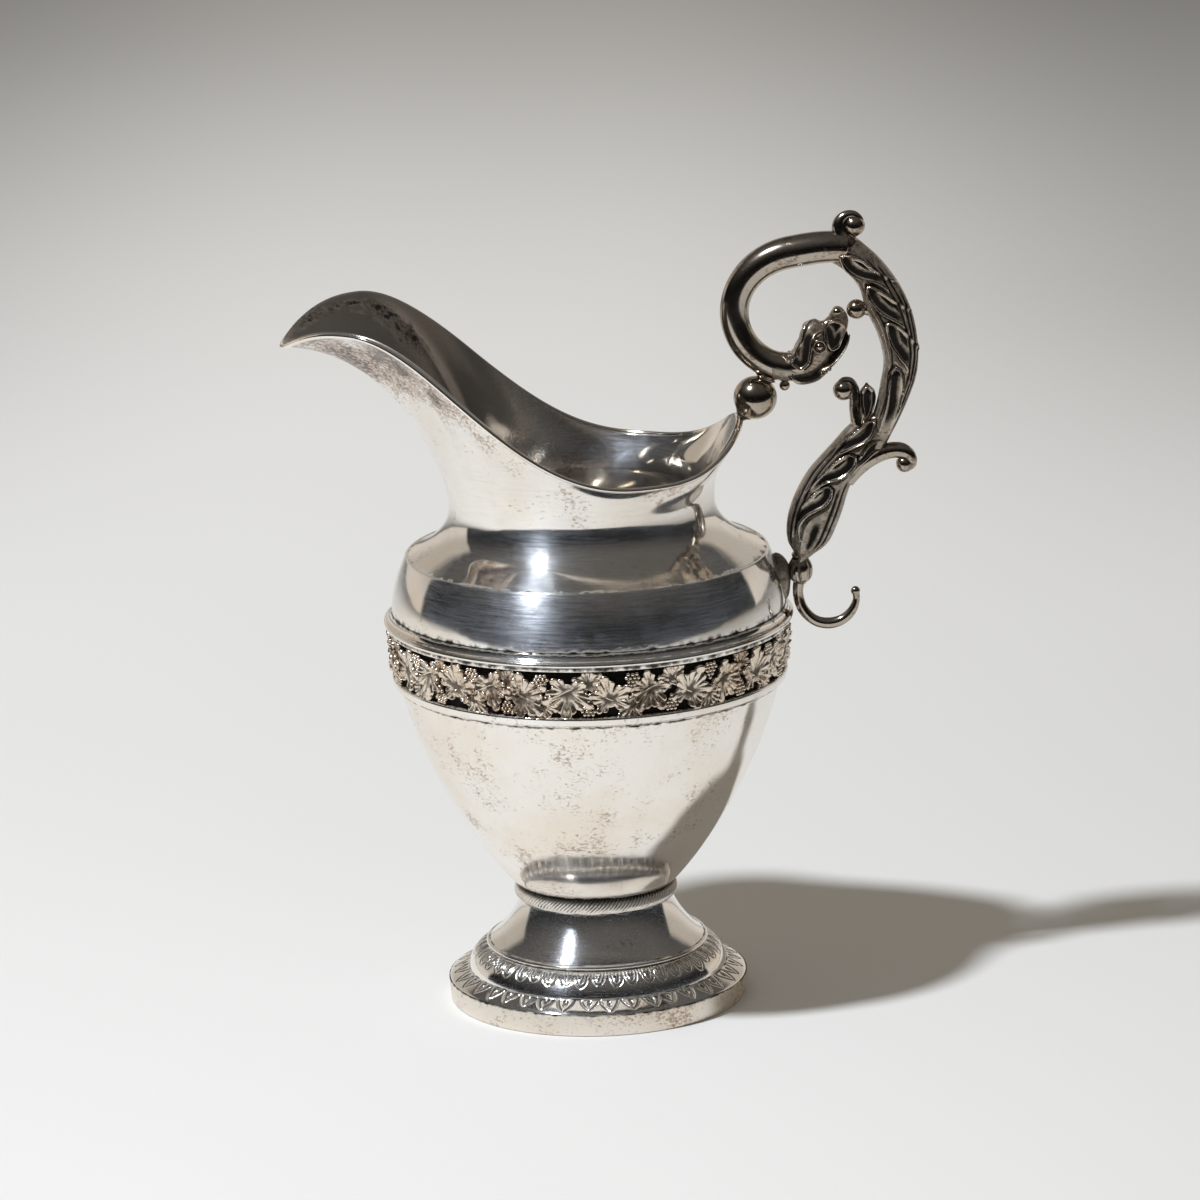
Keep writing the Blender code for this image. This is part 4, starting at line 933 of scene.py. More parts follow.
class JUG_OT_frieze(bpy.types.Operator):
    """Vine leaves, grapes and stems on a near-black backing round the jug, a painted shadow"""
    bl_idname = "jug.frieze"
    bl_label = "Vine frieze"

    def execute(self, context):
        sizes = context.scene.jug_sizes
        rng = np.random.default_rng(5)
        low, high = FRIEZE_Z - 0.2, FRIEZE_TOP_Z + 0.2
        middle = 0.5 * (low + high)
        outline = np.array([(band_seat(low) - 0.3, low), (band_seat(low) + FRIEZE_GROUND, low),
                            (band_seat(high) + FRIEZE_GROUND, high), (band_seat(high) - 0.3, high)])
        # The backing is made near-black all over: a painted shadow that stands for the shade behind the
        # pierced frieze.
        shadow_backing = silver("frieze_ground_silver", cover=0.6, dents=0.0, gloss=0.4, shade=0.6)
        add_piece("frieze_ground", [turned(outline, 1.0)], shadow_backing, "vine_frieze")
        finish = silver("vine_silver", cover=0.40, soft=0.12, dents=0.0, gloss=0.24, soil_and_shade=0.82,
                        shade=0.18, tint=(1.06, 0.98, 0.89))
        count = sizes.vine_leaves
        leaves, small, grapes = [], [], []
        for i in range(count):
            way = 1.0 if i % 2 else -1.0
            turn = TAU * (i + rng.uniform(-0.12, 0.12)) / count
            heading = (0.0 if way > 0 else math.pi) + rng.uniform(-1.1, 1.1)
            level = middle - way * rng.uniform(-0.2, 0.7)
            size = LEAF_SIZE * rng.uniform(0.92, 1.08)
            leaves.append(vine_leaf(turn, level, heading, size, sizes.vine_relief, rng,
                                    0.2 if way > 0 else 0.0))
            beside = turn + (0.5 + rng.uniform(-0.06, 0.06)) * TAU / count
            tip = (math.pi if way > 0 else 0.0) + rng.uniform(-0.9, 0.9)
            small.append(vine_leaf(beside, middle - way * 3.1, tip, SMALL_LEAF_SIZE,
                                   0.66 * sizes.vine_relief, rng))
            grapes += grape_cluster(beside, middle + way * 4.8, way, rng)
        add_piece("frieze_leaves", leaves, finish)
        add_piece("frieze_small_leaves", small, finish)
        add_piece("frieze_grapes", grapes, finish)
        add_piece("frieze_stem", [self.stem(count)], finish)
        return {"FINISHED"}

    def stem(self, count):
        """Vine that winds round the band: a thin tube on v = 1.9 sin(count a / 2 + 0.8)."""
        steps = count * 24
        a = turns(steps)[:, None]
        w = turns(8)[None, :]
        v = 1.9 * np.sin(0.5 * count * a + 0.8) + 0.36 * np.sin(w)
        middle = 0.5 * (FRIEZE_Z + FRIEZE_TOP_Z)
        points = on_band(np.zeros_like(v), v, 0.10 + 0.36 * np.cos(w) + 0 * a, a, middle)
        return skin(points, wrap_rows=True, recess=0.4 * (1.0 - np.cos(w)) + 0 * a)


class JUG_OT_shoulder(bpy.types.Operator):
    """Spun shoulder between the band and the crease"""
    bl_idname = "jug.shoulder"
    bl_label = "Shoulder"

    def execute(self, context):
        """Cubic curve that stands upright on the band, swells a little and draws in to the crease."""
        rise = CREASE_Z - SHOULDER_Z
        curve = bezier((BELT_RADIUS - 0.05, SHOULDER_Z),
                       (BELT_RADIUS + 0.30, SHOULDER_Z + 0.36 * rise),
                       (CREASE_RADIUS + 2.2, CREASE_Z - 0.30 * rise), (CREASE_RADIUS, CREASE_Z), 70)
        lip = bezier((CREASE_RADIUS, CREASE_Z), (CREASE_RADIUS - 0.12, CREASE_Z + 0.22),
                     (CREASE_RADIUS - 0.3, CREASE_Z + 0.28), (CREASE_RADIUS - 0.7, CREASE_Z + 0.2), 6)
        line = np.concatenate((curve, lip[1:]))
        outline = walled(line, WALL, 5)
        k = np.arange(len(outline))
        above = outline[:, 1] - UPPER_BAND_TOP_Z
        foot = (bump(above, -0.1, 0.45) + 0.36 * bump(above, 0.6, 1.0)) * (k < 40)
        soil_and_shade = unit(foot + 0.5 * bump(k, 74.5, 0.8))
        add_piece("shoulder_spun", [turned(outline, soil_and_shade)],
                  silver("shoulder_silver", cover=0.22, haze=0.22), "shoulder")
        return {"FINISHED"}


def rim_line(angle):
    """Middle of the rim; angle 0 is at the handle and pi at the spout.

    x runs as a cosine, y as a power of a sine, fuller towards the handle, and the height falls from
    the handle to the dip, swings up along an S to the peak of the spout and drops to its tip."""
    x = 0.5 * (SPOUT_X + BACK_X) + 0.5 * (BACK_X - SPOUT_X) * np.cos(angle)
    across = np.sin(angle)
    y = np.sign(across) * np.abs(across) ** (1.06 - 0.26 * smooth(-0.2, 0.5, np.cos(angle)))
    y = y * (RIM_WIDTH - RIM_PINCH * bump(x, -41.0, 10.0))
    dip = BACK_X - DIP_FROM_BACK
    peak = SPOUT_X + PEAK_FROM_TIP
    back = RIM_LOW + (RIM_BACK - RIM_LOW) * unit((x - dip) / DIP_FROM_BACK) ** 3.2
    t = unit((dip - x) / (dip - peak)) ** 1.25
    swing = RIM_LOW + (RIM_PEAK - RIM_LOW) * (3.0 * t * t - 2.0 * t ** 3)
    drop = RIM_PEAK - (RIM_PEAK - SPOUT_TIP) * unit((peak - x) / PEAK_FROM_TIP) ** 2.4
    rise = np.where(x > dip, back, np.where(x > peak, swing, drop))
    return np.stack((x, y, WAIST_Z + rise), axis=-1)


def rim_frame(angle):
    """Rim points with the unit directions along, aside and up."""
    nudge = math.radians(0.4)
    run = rim_line(angle + nudge) - rim_line(angle - nudge)
    run /= np.linalg.norm(run, axis=-1, keepdims=True)
    aside = np.cross(run, (0.0, 0.0, 1.0))
    aside /= np.linalg.norm(aside, axis=-1, keepdims=True)
    return rim_line(angle), run, aside, np.cross(aside, run)


class JUG_OT_neck(bpy.types.Operator):
    """Neck and spout in one sheet, with its rim"""
    bl_idname = "jug.neck"
    bl_label = "Neck and spout"

    def execute(self, context):
        """Sheet of the wall and, set in by its thickness, its inside; the rim is a wire on its edge.

        The wall is tucked in a little under the rim on the near side. It is darker in the crease,
        darker and rougher inside towards the spout with a dark blotch there, and tarnished outside
        under its lip."""
        turn = turns(NECK_STEPS)
        outer = self.wall(turn)
        below = outer[-1:, :, 2] - outer[:, :, 2]
        azimuth = np.arctan2(outer[-1, :, 1], outer[-1, :, 0])
        tuck = RIM_TUCK * (1.0 - smooth(0.0, 2.2, below)) * bump(azimuth, -1.36, 0.40)
        outer[:, :, :2] *= (1.0 - tuck / np.hypot(outer[:, :, 0], outer[:, :, 1]))[:, :, None]
        along = np.roll(outer, -1, axis=1) - np.roll(outer, 1, axis=1)
        up = np.gradient(outer, axis=0)
        normal = np.cross(along, up)
        normal /= np.linalg.norm(normal, axis=2, keepdims=True)
        inner = outer - normal * WALL
        inner[0, :, 2] = outer[0, :, 2]
        rows = len(outer)
        height = np.linspace(0.0, 1.0, rows)[:, None]
        seam = 0.5 * bump(np.arange(rows), 0.0, 2.5)[:, None] + 0.0 * turn
        centre = math.pi - 0.60 + 0.34 * smooth(0.93, 0.99, height)
        blotch = bump(turn, centre, 0.15) * smooth(0.66, 0.80, height)
        soil_and_shade = np.concatenate((seam, 0.58 * blotch[::-1]))
        sheet = skin(np.concatenate((outer, inner[::-1])), wrap_rows=True, recess=soil_and_shade)
        dull = np.concatenate((0.0 * outer[:, :, 0], smooth(8.0, -30.0, inner[::-1, :, 0])))
        sheet["lining"] = dull.ravel()
        tarnish = smooth(-10.0, -44.0, outer[:, :, 0]) * smooth(0.58, 0.86, height)
        sheet["stain"] = np.concatenate((tarnish, 0.1 + 0.75 * blotch[::-1])).ravel()
        add_piece("neck_and_spout", [sheet], silver("neck_silver", cover=0.24, haze=0.14),
                  "neck_spout")
        middle, _, aside, above = rim_frame(turn - RIM_GATHER * np.sin(turn))
        w = turns(14)[None, :, None]
        wire = RIM_WIRE * (aside[:, None] * np.cos(w) + above[:, None] * np.sin(w))
        add_piece("rim_edge", [skin(middle[:, None] + wire, wrap_rows=True)],
                  silver("rim_silver", cover=0.2, dents=0.0), "rim_wire")
        return {"FINISHED"}

    def wall(self, turn):
        """Rows of the outer face: a cove from the crease to the waist, then a cubic curve up to the
        rim that ends upright on the sides and leans out to the spout and the handle."""
        out = np.stack((np.cos(turn), np.sin(turn), 0.0 * turn), axis=1)
        front = 0.5 * (1.0 - np.cos(turn))[:, None]
        back = (1.0 - front) ** 8
        upright = np.array((0.0, 0.0, 1.0))
        crease = out * NECK_RADIUS + upright * (NECK_Z - 0.3)
        waist = out * WAIST_RADIUS + np.array((-WAIST_SHIFT, 0.0, WAIST_Z + WAIST_RISE))
        rim, run, aside, above = rim_frame(turn - RIM_GATHER * np.sin(turn))
        spout = smooth(0.46, 0.76, front)
        flare = np.radians(38.0 * front ** 4 + 36.0 * back - 5.0 * bump(front, 0.36, 0.14)
                           + (34.0 + 14.0 * front ** 4) * spout)
        rise = above * np.cos(flare) + aside * np.sin(flare)
        lip = rim - rise * 0.2
        shift = (rim - waist) * (1.0, 1.0, 0.0)
        reach = 2.4 + 24.6 * front ** 6 + 5.0 * back + 4.6 * spout * (1.0 - front ** 6)
        pull = rise * reach + run * (0.6 * (shift * run).sum(1, keepdims=True))
        lift = out * (1.2 * front ** 2) + upright * (2.4 + 4.2 * back + 7.1 * spout)
        cove = bezier(crease, crease - out * 5.0 + upright * 2.3, waist - upright * 7.5, waist, 28)
        return np.concatenate((cove[:-1], bezier(waist, waist + lift, rim - pull, lip, 64)))


def coil_point(angle):
    """Middle of the coil: a circle, longer to the sides, that opens past its crown and closes to the
    head."""
    past = np.clip(math.radians(100.0) - angle, 0.0, None) / math.radians(44.0)
    closing = np.clip(angle - math.radians(238.0), 0.0, None) / math.radians(30.0)
    radius = COIL_RADIUS + 0.7 * np.cos(2.0 * (angle - math.radians(190.0)))
    radius = radius + 3.3 * past ** 2 - 1.0 * closing ** 2
    ray = np.stack((np.cos(angle), np.sin(angle)), axis=-1)
    return np.array(COIL_CENTRE) + np.asarray(radius)[..., None] * ray


class JUG_OT_coil(bpy.types.Operator):
    """Smooth coil of the serpent with the ball that carries it"""
    bl_idname = "jug.coil"
    bl_label = "Serpent coil and ball"

    def execute(self, context):
        finish = handle_silver()
        angle = np.radians(np.linspace(272.0, 52.0, 200))
        radius = COIL_TUBE + 0.5 * np.clip(np.sin(angle), 0.0, None) ** 2
        add_piece("serpent_coil", [tube(coil_point(angle), radius, columns=56)], finish,
                  "serpent_loop")
        self.ball(finish)
        at = math.radians(258.0)
        pearl = coil_point(at) + PEARL_DROP * np.array((math.cos(at), math.sin(at)))
        add_piece("coil_pearl", [globe(pearl, PEARL_RADIUS)], finish, "loop_pearl")
        return {"FINISHED"}

    def ball(self, finish):
        """Ball with a waisted collar under the coil and a short foot on the rim, spun and leant."""
        v = np.linspace(0.06, math.pi - 0.40, 40)
        outline = np.stack((BALL_RADIUS * np.sin(v), -BALL_RADIUS * np.cos(v)), axis=1)
        collar = [(1.95, 4.95), (1.8, 5.15), (2.5, 5.35), (2.7, 5.6), (2.4, 5.85), (1.9, 6.3),
                  (1.6, 7.2)]
        outline = np.concatenate((outline, through(collar, 26)))
        k = np.arange(len(outline))
        soil_and_shade = 0.9 * bump(k, 42.0, 3.0) + 0.6 * smooth(58.0, 65.0, k)
        ball = skin(spun(outline, 56), caps=True, recess=unit(soil_and_shade)[:, None])
        turn, place = spin_about(BALL_CENTRE, BALL_LEAN)
        foot = through([(0.9, -6.9), (1.05, -6.3), (1.35, -5.7), (2.2, -5.0), (2.6, -4.4)], 18)
        seat = skin(spun(foot, 28), caps=True, recess=0.8 * bump(np.arange(18), 10.0, 6.0)[:, None])
        lean, _ = spin_about(BALL_CENTRE, BALL_FOOT_LEAN)
        add_piece("ball_and_collar", [moved(ball, turn, place), moved(seat, lean, place)], finish,
                  "handle_ball")


def handle_silver():
    """One oxidised finish for all the cast pieces of the handle."""
    return bpy.data.materials.get("handle_silver") or silver(
        "handle_silver", cover=0.34, soft=0.05, dents=0.35, gloss=0.14, shade=0.53,
        tint=(1.04, 0.97, 0.895), patches=0.7)


def distance_to(points, line):
    """Least distance from plane points to a line of straight pieces."""
    a, b = line[:-1], line[1:]
    run = b - a
    t = ((points[:, None] - a[None]) * run[None]).sum(2) / (run * run).sum(1)[None]
    near = a[None] + unit(t)[:, :, None] * run[None]
    return np.linalg.norm(points[:, None] - near, axis=2).min(1)


def inside(points, outline):
    """True for plane points within a closed outline, by counting crossings."""
    a, b = outline, np.roll(outline, -1, axis=0)
    x, z = points[:, :1], points[:, 1:]
    cross = (a[None, :, 1] > z) != (b[None, :, 1] > z)
    slope = np.where(b[:, 1] == a[:, 1], 1e-9, b[:, 1] - a[:, 1])
    where = a[None, :, 0] + (z - a[None, :, 1]) * ((b[:, 0] - a[:, 0]) / slope)[None]
    return (cross & (x < where)).sum(1) % 2 == 1


def lobe_relief(points, lobes, base):
    """Height, and darkness of soiling and painted shade, of overlapping leaf lobes, each a low and an
    upper rim from its tip.

    Inside a lobe the height is a ridge 0.3 mm within the rim over a hollow that rises with the
    distance from the low rim, and it fades to the tail; outside, the arm sinks under the rim and a
    painted shadow darkens it there."""
    height = base.copy()
    soil_and_shade = np.zeros(len(points))
    for low, upper, lift in lobes:
        low_line, up_line = through(low, 40), through(upper, 40)
        outline = np.concatenate((low_line, up_line[::-1]))
        within = inside(points, outline)
        d_low, d_up = distance_to(points, low_line), distance_to(points, up_line)
        edge = np.minimum(d_low, 1.4 * d_up)
        tail = 0.5 * (low_line[-1] + up_line[-1])
        axis = tail - low_line[0]
        s = ((points - low_line[0]) @ axis) / (axis @ axis)
        fade = 1.0 - smooth(0.62, 1.0, s)
        shape = 0.80 * bump(edge, 0.34, 0.27) + 0.08 + 0.34 * smooth(0.8, 3.4, d_low)
        rise = 1.3 * lift * shape * (0.25 + 0.75 * fade) * smooth(0.0, 0.22, edge)
        # Painted shadow: a dark band on the arm just outside each lobe's rim.
        shadow = np.exp(-(np.minimum(d_low, 1.5 * d_up) / 0.62) ** 2) * fade
        height = np.where(within, base + rise + 0.35 * (height - base), height - 0.45 * lift * shadow)
        hollow = 0.92 * smooth(0.50, 0.85, edge) * (1.0 - smooth(1.5, 3.8, d_low)) * fade
        soil_and_shade = np.where(within, hollow, np.maximum(soil_and_shade, shadow))
    return height, soil_and_shade


def carved_arm(inner, outer, depths, lobes, flutes, rows=250, columns=132):
    """Leafy arm between two edge lines: oval rings pushed out along their normals by the relief.

    A flute is a groove (place, width, first, last) at a place across the arm, -1 inner to 1 outer."""
    low, high = through(inner, rows), through(outer, rows)
    middle, half = 0.5 * (low + high), 0.5 * np.linalg.norm(high - low, axis=1)
    side = (high - low) / (2.0 * half[:, None])
    place = np.linspace(0.0, 1.0, rows)
    depth = np.interp(place, np.linspace(0.0, 1.0, len(depths)), depths)
    a = turns(columns)
    across = np.cos(a)[None, :]
    flat = middle[:, None] + side[:, None] * (half[:, None] * across)[:, :, None]
    y = depth[:, None] * np.sin(a)[None, :]
    base = np.zeros((rows, columns))
    oxide_and_shade = np.zeros((rows, columns))
    for at, width, first, last in flutes:
        run = smooth(first, first + 0.10, place) * (1.0 - smooth(last - 0.12, last, place))
        groove = bump(across, at, width) * run[:, None]
        base -= 0.42 * groove
        base += 0.14 * bump(across, at - 1.8 * width, 0.07) * run[:, None]
        oxide_and_shade = np.maximum(oxide_and_shade, groove)
    height, soil_and_shade = lobe_relief(flat.reshape(-1, 2), lobes, base.ravel())
    height = height.reshape(rows, columns)
    valley = 0.44 * (1.0 - smooth(0.02, 0.42, height))
    soil_and_shade = np.maximum.reduce((soil_and_shade.reshape(rows, columns), 0.92 * oxide_and_shade, valley))
    ends = smooth(0.0, 0.05, place) * (1.0 - smooth(0.95, 1.0, place))
    flanks = 1.0 - 0.85 * smooth(0.86, 1.0, np.abs(across))
    height = height * ends[:, None] * flanks
    n_side = np.cos(a)[None, :] / half[:, None]
    n_y = np.sin(a)[None, :] / depth[:, None]
    size = np.hypot(n_side, n_y)
    flat = flat + side[:, None] * (height * n_side / size)[:, :, None]
    y = y + height * n_y / size
    grid = np.stack((flat[:, :, 0], y, flat[:, :, 1]), axis=2)
    return skin(grid, caps=True, recess=soil_and_shade)


class JUG_OT_leaf_arms(bpy.types.Operator):
    """Two acanthus arms with finial, pearl, bud and scroll"""
    bl_idname = "jug.leaf_arms"
    bl_label = "Acanthus arms"

    def execute(self, context):
        finish = handle_silver()
        add_piece("acanthus_upper", [self.upper()], finish, "upper_leaf_arm")
        add_piece("acanthus_lower", [self.lower()], finish, "lower_leaf_arm")
        curl = drop_tube([
            (65.6, 184.6, 3.2), (64.1, 187.4, 2.9), (62.9, 190.0, 2.0), (62.9, 192.3, 1.6),
            (64.4, 193.8, 1.25), (66.4, 193.9, 1.05), (67.7, 192.8, 0.9), (67.9, 191.7, 0.8)])
        add_piece("finial_curl", [curl, globe((66.3, 191.3), 2.65, 20, 40)], finish, "top_finial")
        peg = drop_tube([(70.6, 170.6, 1.9), (69.0, 170.7, 1.5), (67.6, 170.8, 1.3)], 20)
        add_piece("arm_pearl_ball", [globe((66.6, 170.8), 2.45, 20, 40), peg], finish, "arm_pearl")
        stalk = drop_tube([
            (68.8, 138.6, 3.0), (67.0, 142.6, 2.3), (65.9, 146.2, 1.45), (65.8, 149.2, 1.35),
            (65.6, 151.4, 1.25), (64.7, 152.9, 1.15), (63.2, 153.1, 1.0), (62.0, 152.0, 0.85)])
        bud = globe((63.1, 150.9), 2.55, 20, 40)
        add_piece("bud_and_leaf", [stalk, bud, self.upright_leaf()], finish, "curl_bud")
        scroll = drop_tube([
            (63.6, 128.4, 1.9), (66.0, 131.1, 2.0), (68.6, 133.3, 2.1), (71.8, 134.9, 2.0),
            (75.0, 135.7, 2.0), (77.4, 135.4, 1.9), (79.0, 134.0, 1.6), (79.3, 132.3, 1.35),
            (78.2, 131.3, 1.15)], 90)
        add_piece("scroll_curl", [scroll, globe((77.7, 132.2), 2.1, 18, 36)], finish, "outer_scroll")
        return {"FINISHED"}

    def upper(self):
        """Arm from the coil down to the junction, with four lobes from the inner edge outwards."""
        outer = [(59.2, 188.9), (61.6, 189.4), (65.0, 189.2), (69.7, 185.9), (75.2, 179.7),
                 (79.1, 172.5), (81.2, 163.7), (81.1, 155.4), (78.4, 147.4), (75.6, 141.6),
                 (72.4, 135.6)]
        inner = [(58.0, 183.9), (60.2, 182.7), (62.8, 181.2), (67.0, 176.6), (68.9, 170.5),
                 (71.6, 164.4), (72.9, 157.5), (72.0, 152.0), (70.9, 147.0), (68.9, 142.0),
                 (66.4, 138.0)]
        lobes = [
            ([(75.6, 157.1), (74.3, 155.6), (73.8, 152.2), (73.2, 147.4), (71.0, 140.6)],
             [(75.6, 157.1), (76.9, 156.3), (77.6, 152.5), (76.6, 147.3), (74.0, 140.0)], 0.75),
            ([(73.3, 167.7), (73.6, 165.4), (74.5, 162.4), (76.4, 159.3), (78.2, 156.2), (78.8, 152.0)],
             [(73.3, 167.7), (74.4, 168.1), (76.5, 167.3), (79.2, 164.3), (83.0, 158.0)], 0.85),
            ([(68.8, 177.1), (69.0, 175.0), (70.2, 172.5), (72.4, 170.2), (75.4, 168.2), (79.0, 165.4)],
             [(68.8, 177.1), (69.9, 177.2), (71.8, 176.4), (75.8, 173.3), (82.0, 169.0)], 0.85),
            ([(62.2, 184.8), (62.8, 182.9), (64.5, 180.6), (67.4, 178.8), (70.7, 177.8), (74.0, 175.6)],
             [(62.2, 184.8), (63.8, 184.9), (67.5, 183.9), (71.5, 180.6), (78.0, 177.0)], 0.85),
        ]
        flutes = [(0.50, 0.085, 0.10, 0.80), (0.72, 0.085, 0.16, 0.92), (0.89, 0.06, 0.30, 1.0),
                  (-0.55, 0.085, 0.28, 0.95)]
        return carved_arm(inner, outer, (2.6, 3.6, 3.9, 4.1, 4.0, 3.6, 3.2, 2.6), lobes, flutes)

    def lower(self):
        """Arm from the junction down to the calyx, with three lobes slanting down and a back leaf."""
        left = [(70.0, 145.0), (66.6, 144.0), (63.6, 141.6), (60.6, 138.3), (57.5, 135.0),
                (54.3, 131.3), (51.8, 127.2), (49.9, 122.8), (48.8, 118.1), (49.0, 113.8),
                (50.6, 110.2), (50.9, 108.6)]
        right = [(73.6, 142.0), (72.8, 138.4), (70.8, 134.6), (67.6, 131.2), (65.0, 128.2),
                 (63.6, 124.9), (62.4, 121.0), (60.9, 117.1), (58.6, 112.8), (54.6, 109.8),
                 (52.9, 108.4)]
        lobes = [
            ([(73.2, 138.9), (73.0, 137.2), (70.5, 135.7), (68.0, 133.5), (64.6, 130.0)],
             [(73.2, 138.9), (71.6, 139.2), (69.0, 138.0), (67.0, 135.4), (63.6, 131.4)], 0.6),
            ([(60.1, 127.0), (59.8, 125.1), (58.2, 122.9), (55.7, 121.4), (53.5, 119.9), (52.0, 117.3),
              (52.3, 114.2)],
             [(60.1, 127.0), (59.3, 128.0), (57.4, 127.7), (54.6, 125.4), (51.4, 121.2),
              (49.4, 114.2)], 0.9),
            ([(66.1, 135.1), (65.7, 132.9), (64.3, 131.1), (61.8, 129.5), (58.6, 128.5), (55.0, 126.0)],
             [(66.1, 135.1), (64.3, 135.8), (61.4, 134.4), (57.4, 130.6), (51.6, 124.4)], 0.9),
            ([(70.8, 143.9), (70.8, 142.3), (70.0, 140.1), (68.1, 138.3), (65.6, 137.1), (61.2, 135.0)],
             [(70.8, 143.9), (69.1, 143.5), (66.6, 141.7), (62.5, 138.4), (57.4, 133.4)], 0.9),
        ]
        flutes = [(-0.62, 0.085, 0.14, 0.90), (-0.82, 0.085, 0.20, 0.96), (0.22, 0.24, 0.66, 0.97),
                  (0.58, 0.075, 0.42, 0.95), (0.80, 0.075, 0.36, 0.98)]
        return carved_arm(left, right, (2.6, 3.3, 3.7, 3.9, 3.8, 3.7, 3.4, 3.0, 2.2), lobes, flutes)

    def upright_leaf(self):
        """Small leaf beside the bud, carved like the arms with one hollow lobe."""
        left = [(66.6, 139.6), (66.5, 143.4), (67.0, 147.8), (67.2, 150.4), (68.5, 152.4)]
        right = [(70.6, 139.6), (69.6, 144.6), (70.3, 147.7), (70.4, 150.4), (69.0, 152.5)]
        lobe = ([(68.8, 152.3), (67.5, 150.6), (67.3, 147.8), (67.5, 145.4), (66.9, 142.0)],
                [(68.8, 152.3), (70.2, 150.6), (70.1, 147.7), (69.3, 144.8), (68.2, 142.0)], 0.7)
        return carved_arm(left, right, (2.6, 2.2, 2.0, 1.7, 0.8), [lobe], [], 90, 64)


class JUG_OT_head(bpy.types.Operator):
    """Serpent's head with its open mouth and eyes"""
    bl_idname = "jug.head"
    bl_label = "Serpent head"

    def execute(self, context):
        finish = handle_silver()
        crown = [(45.4, 161.2), (47.6, 160.7), (49.6, 160.3), (51.2, 161.5), (52.3, 163.4),
                 (53.1, 166.0), (54.6, 168.0), (56.5, 168.7), (58.1, 168.1), (59.5, 169.0),
                 (60.6, 170.7), (61.7, 171.7), (63.0, 171.4), (63.9, 170.3)]
        under = [(46.2, 154.0), (48.6, 153.6), (51.2, 153.6), (54.5, 154.2), (57.5, 155.6),
                 (59.2, 157.2), (60.2, 158.7), (60.9, 159.8), (61.8, 161.0), (62.7, 162.3),
                 (63.7, 164.2), (64.4, 166.5), (64.6, 168.4), (64.3, 169.6)]
        depth = (3.5, 3.5, 3.5, 3.6, 3.8, 4.0, 4.0, 3.8, 3.2, 2.9, 2.6, 2.2, 1.6, 0.7)
        hood = ([(50.4, 158.1), (52.6, 156.8), (54.8, 158.2), (55.6, 161.3), (56.5, 164.6),
                 (58.2, 165.7)],
                [(50.4, 158.1), (51.2, 160.1), (53.1, 163.6), (54.2, 167.2), (56.0, 169.4),
                 (58.6, 168.0)], 0.75)
        snout = ([(58.6, 165.4), (58.9, 163.4), (60.3, 161.2), (62.0, 161.8), (63.4, 164.0)],
                 [(58.6, 165.4), (59.0, 167.2), (60.6, 168.6), (62.6, 168.4), (64.4, 166.2)], 0.6)
        flap = ([(48.1, 160.2), (49.2, 158.6), (51.2, 158.4), (52.4, 159.8)],
                [(48.1, 160.2), (49.6, 160.4), (50.8, 160.2), (52.4, 159.9)], 0.5)
        upper = carved_arm(under, crown, depth, [flap, snout, hood], [], 150, 96)
        lip = [(49.6, 156.2), (52.4, 156.4), (55.4, 156.6), (58.1, 157.6), (60.3, 158.6), (62.0, 160.0),
               (63.3, 161.6), (64.3, 163.6), (64.6, 164.5)]
        jaw = [(49.8, 153.9), (52.4, 153.2), (55.8, 153.6), (58.6, 155.2), (60.9, 157.3), (62.7, 159.3),
               (64.1, 161.4), (64.9, 163.5), (65.0, 164.6)]
        cheek = ([(50.0, 155.4), (51.1, 153.9), (55.1, 153.2), (58.0, 154.6), (60.2, 157.0)],
                 [(50.0, 155.4), (51.1, 156.0), (55.1, 156.5), (58.1, 157.8), (59.4, 158.6)], 0.5)
        thick = (3.4, 3.5, 3.5, 3.5, 3.4, 3.0, 2.4, 1.5, 0.6)
        lower = carved_arm(lip, jaw, thick, [cheek], [], 110, 64)
        throat = [(59.6, 159.4), (61.6, 161.2), (63.2, 163.4), (64.2, 165.6)]
        tongue = [(59.8, 157.4), (62.0, 159.4), (63.6, 161.6), (64.6, 164.2)]
        mouth = carved_arm(throat, tongue, (2.6, 2.2, 1.7, 0.8), [], [], 30, 24)
        # The inside of the open mouth is made fully dark: painted shadow.
        mouth["recess"][:] = 1.0
        parts = [upper, lower, mouth]
        eye, nostril = (57.4, 162.6), (61.9, 170.4)
        for way in (-1.0, 1.0):
            parts.append(globe(eye, 1.0, 14, 24, way * 3.85))
            parts.append(self.eye_ring(eye, way * 3.95))
            parts.append(globe(nostril, 1.2, 14, 24, way * 0.7))
            for tooth in ((57.9, 155.7), (58.8, 156.2), (59.7, 156.9)):
                parts.append(globe(tooth, 0.55, 8, 14, way * 3.15))
        add_piece("serpent_head_cast", parts, finish, "serpent_head")
        return {"FINISHED"}

    def eye_ring(self, centre, y):
        """Raised ring round an eye: a small circle swept round a larger one."""
        a = turns(30)[:, None]
        w = turns(10)[None, :]
        ring, wire = 1.5, 0.34
        out = ring + wire * np.cos(w)
        grid = np.stack((centre[0] + out * np.cos(a), y + wire * np.sin(w) + 0.0 * a,
                         centre[1] + out * np.sin(a)), axis=2)
        return skin(grid, wrap_rows=True)


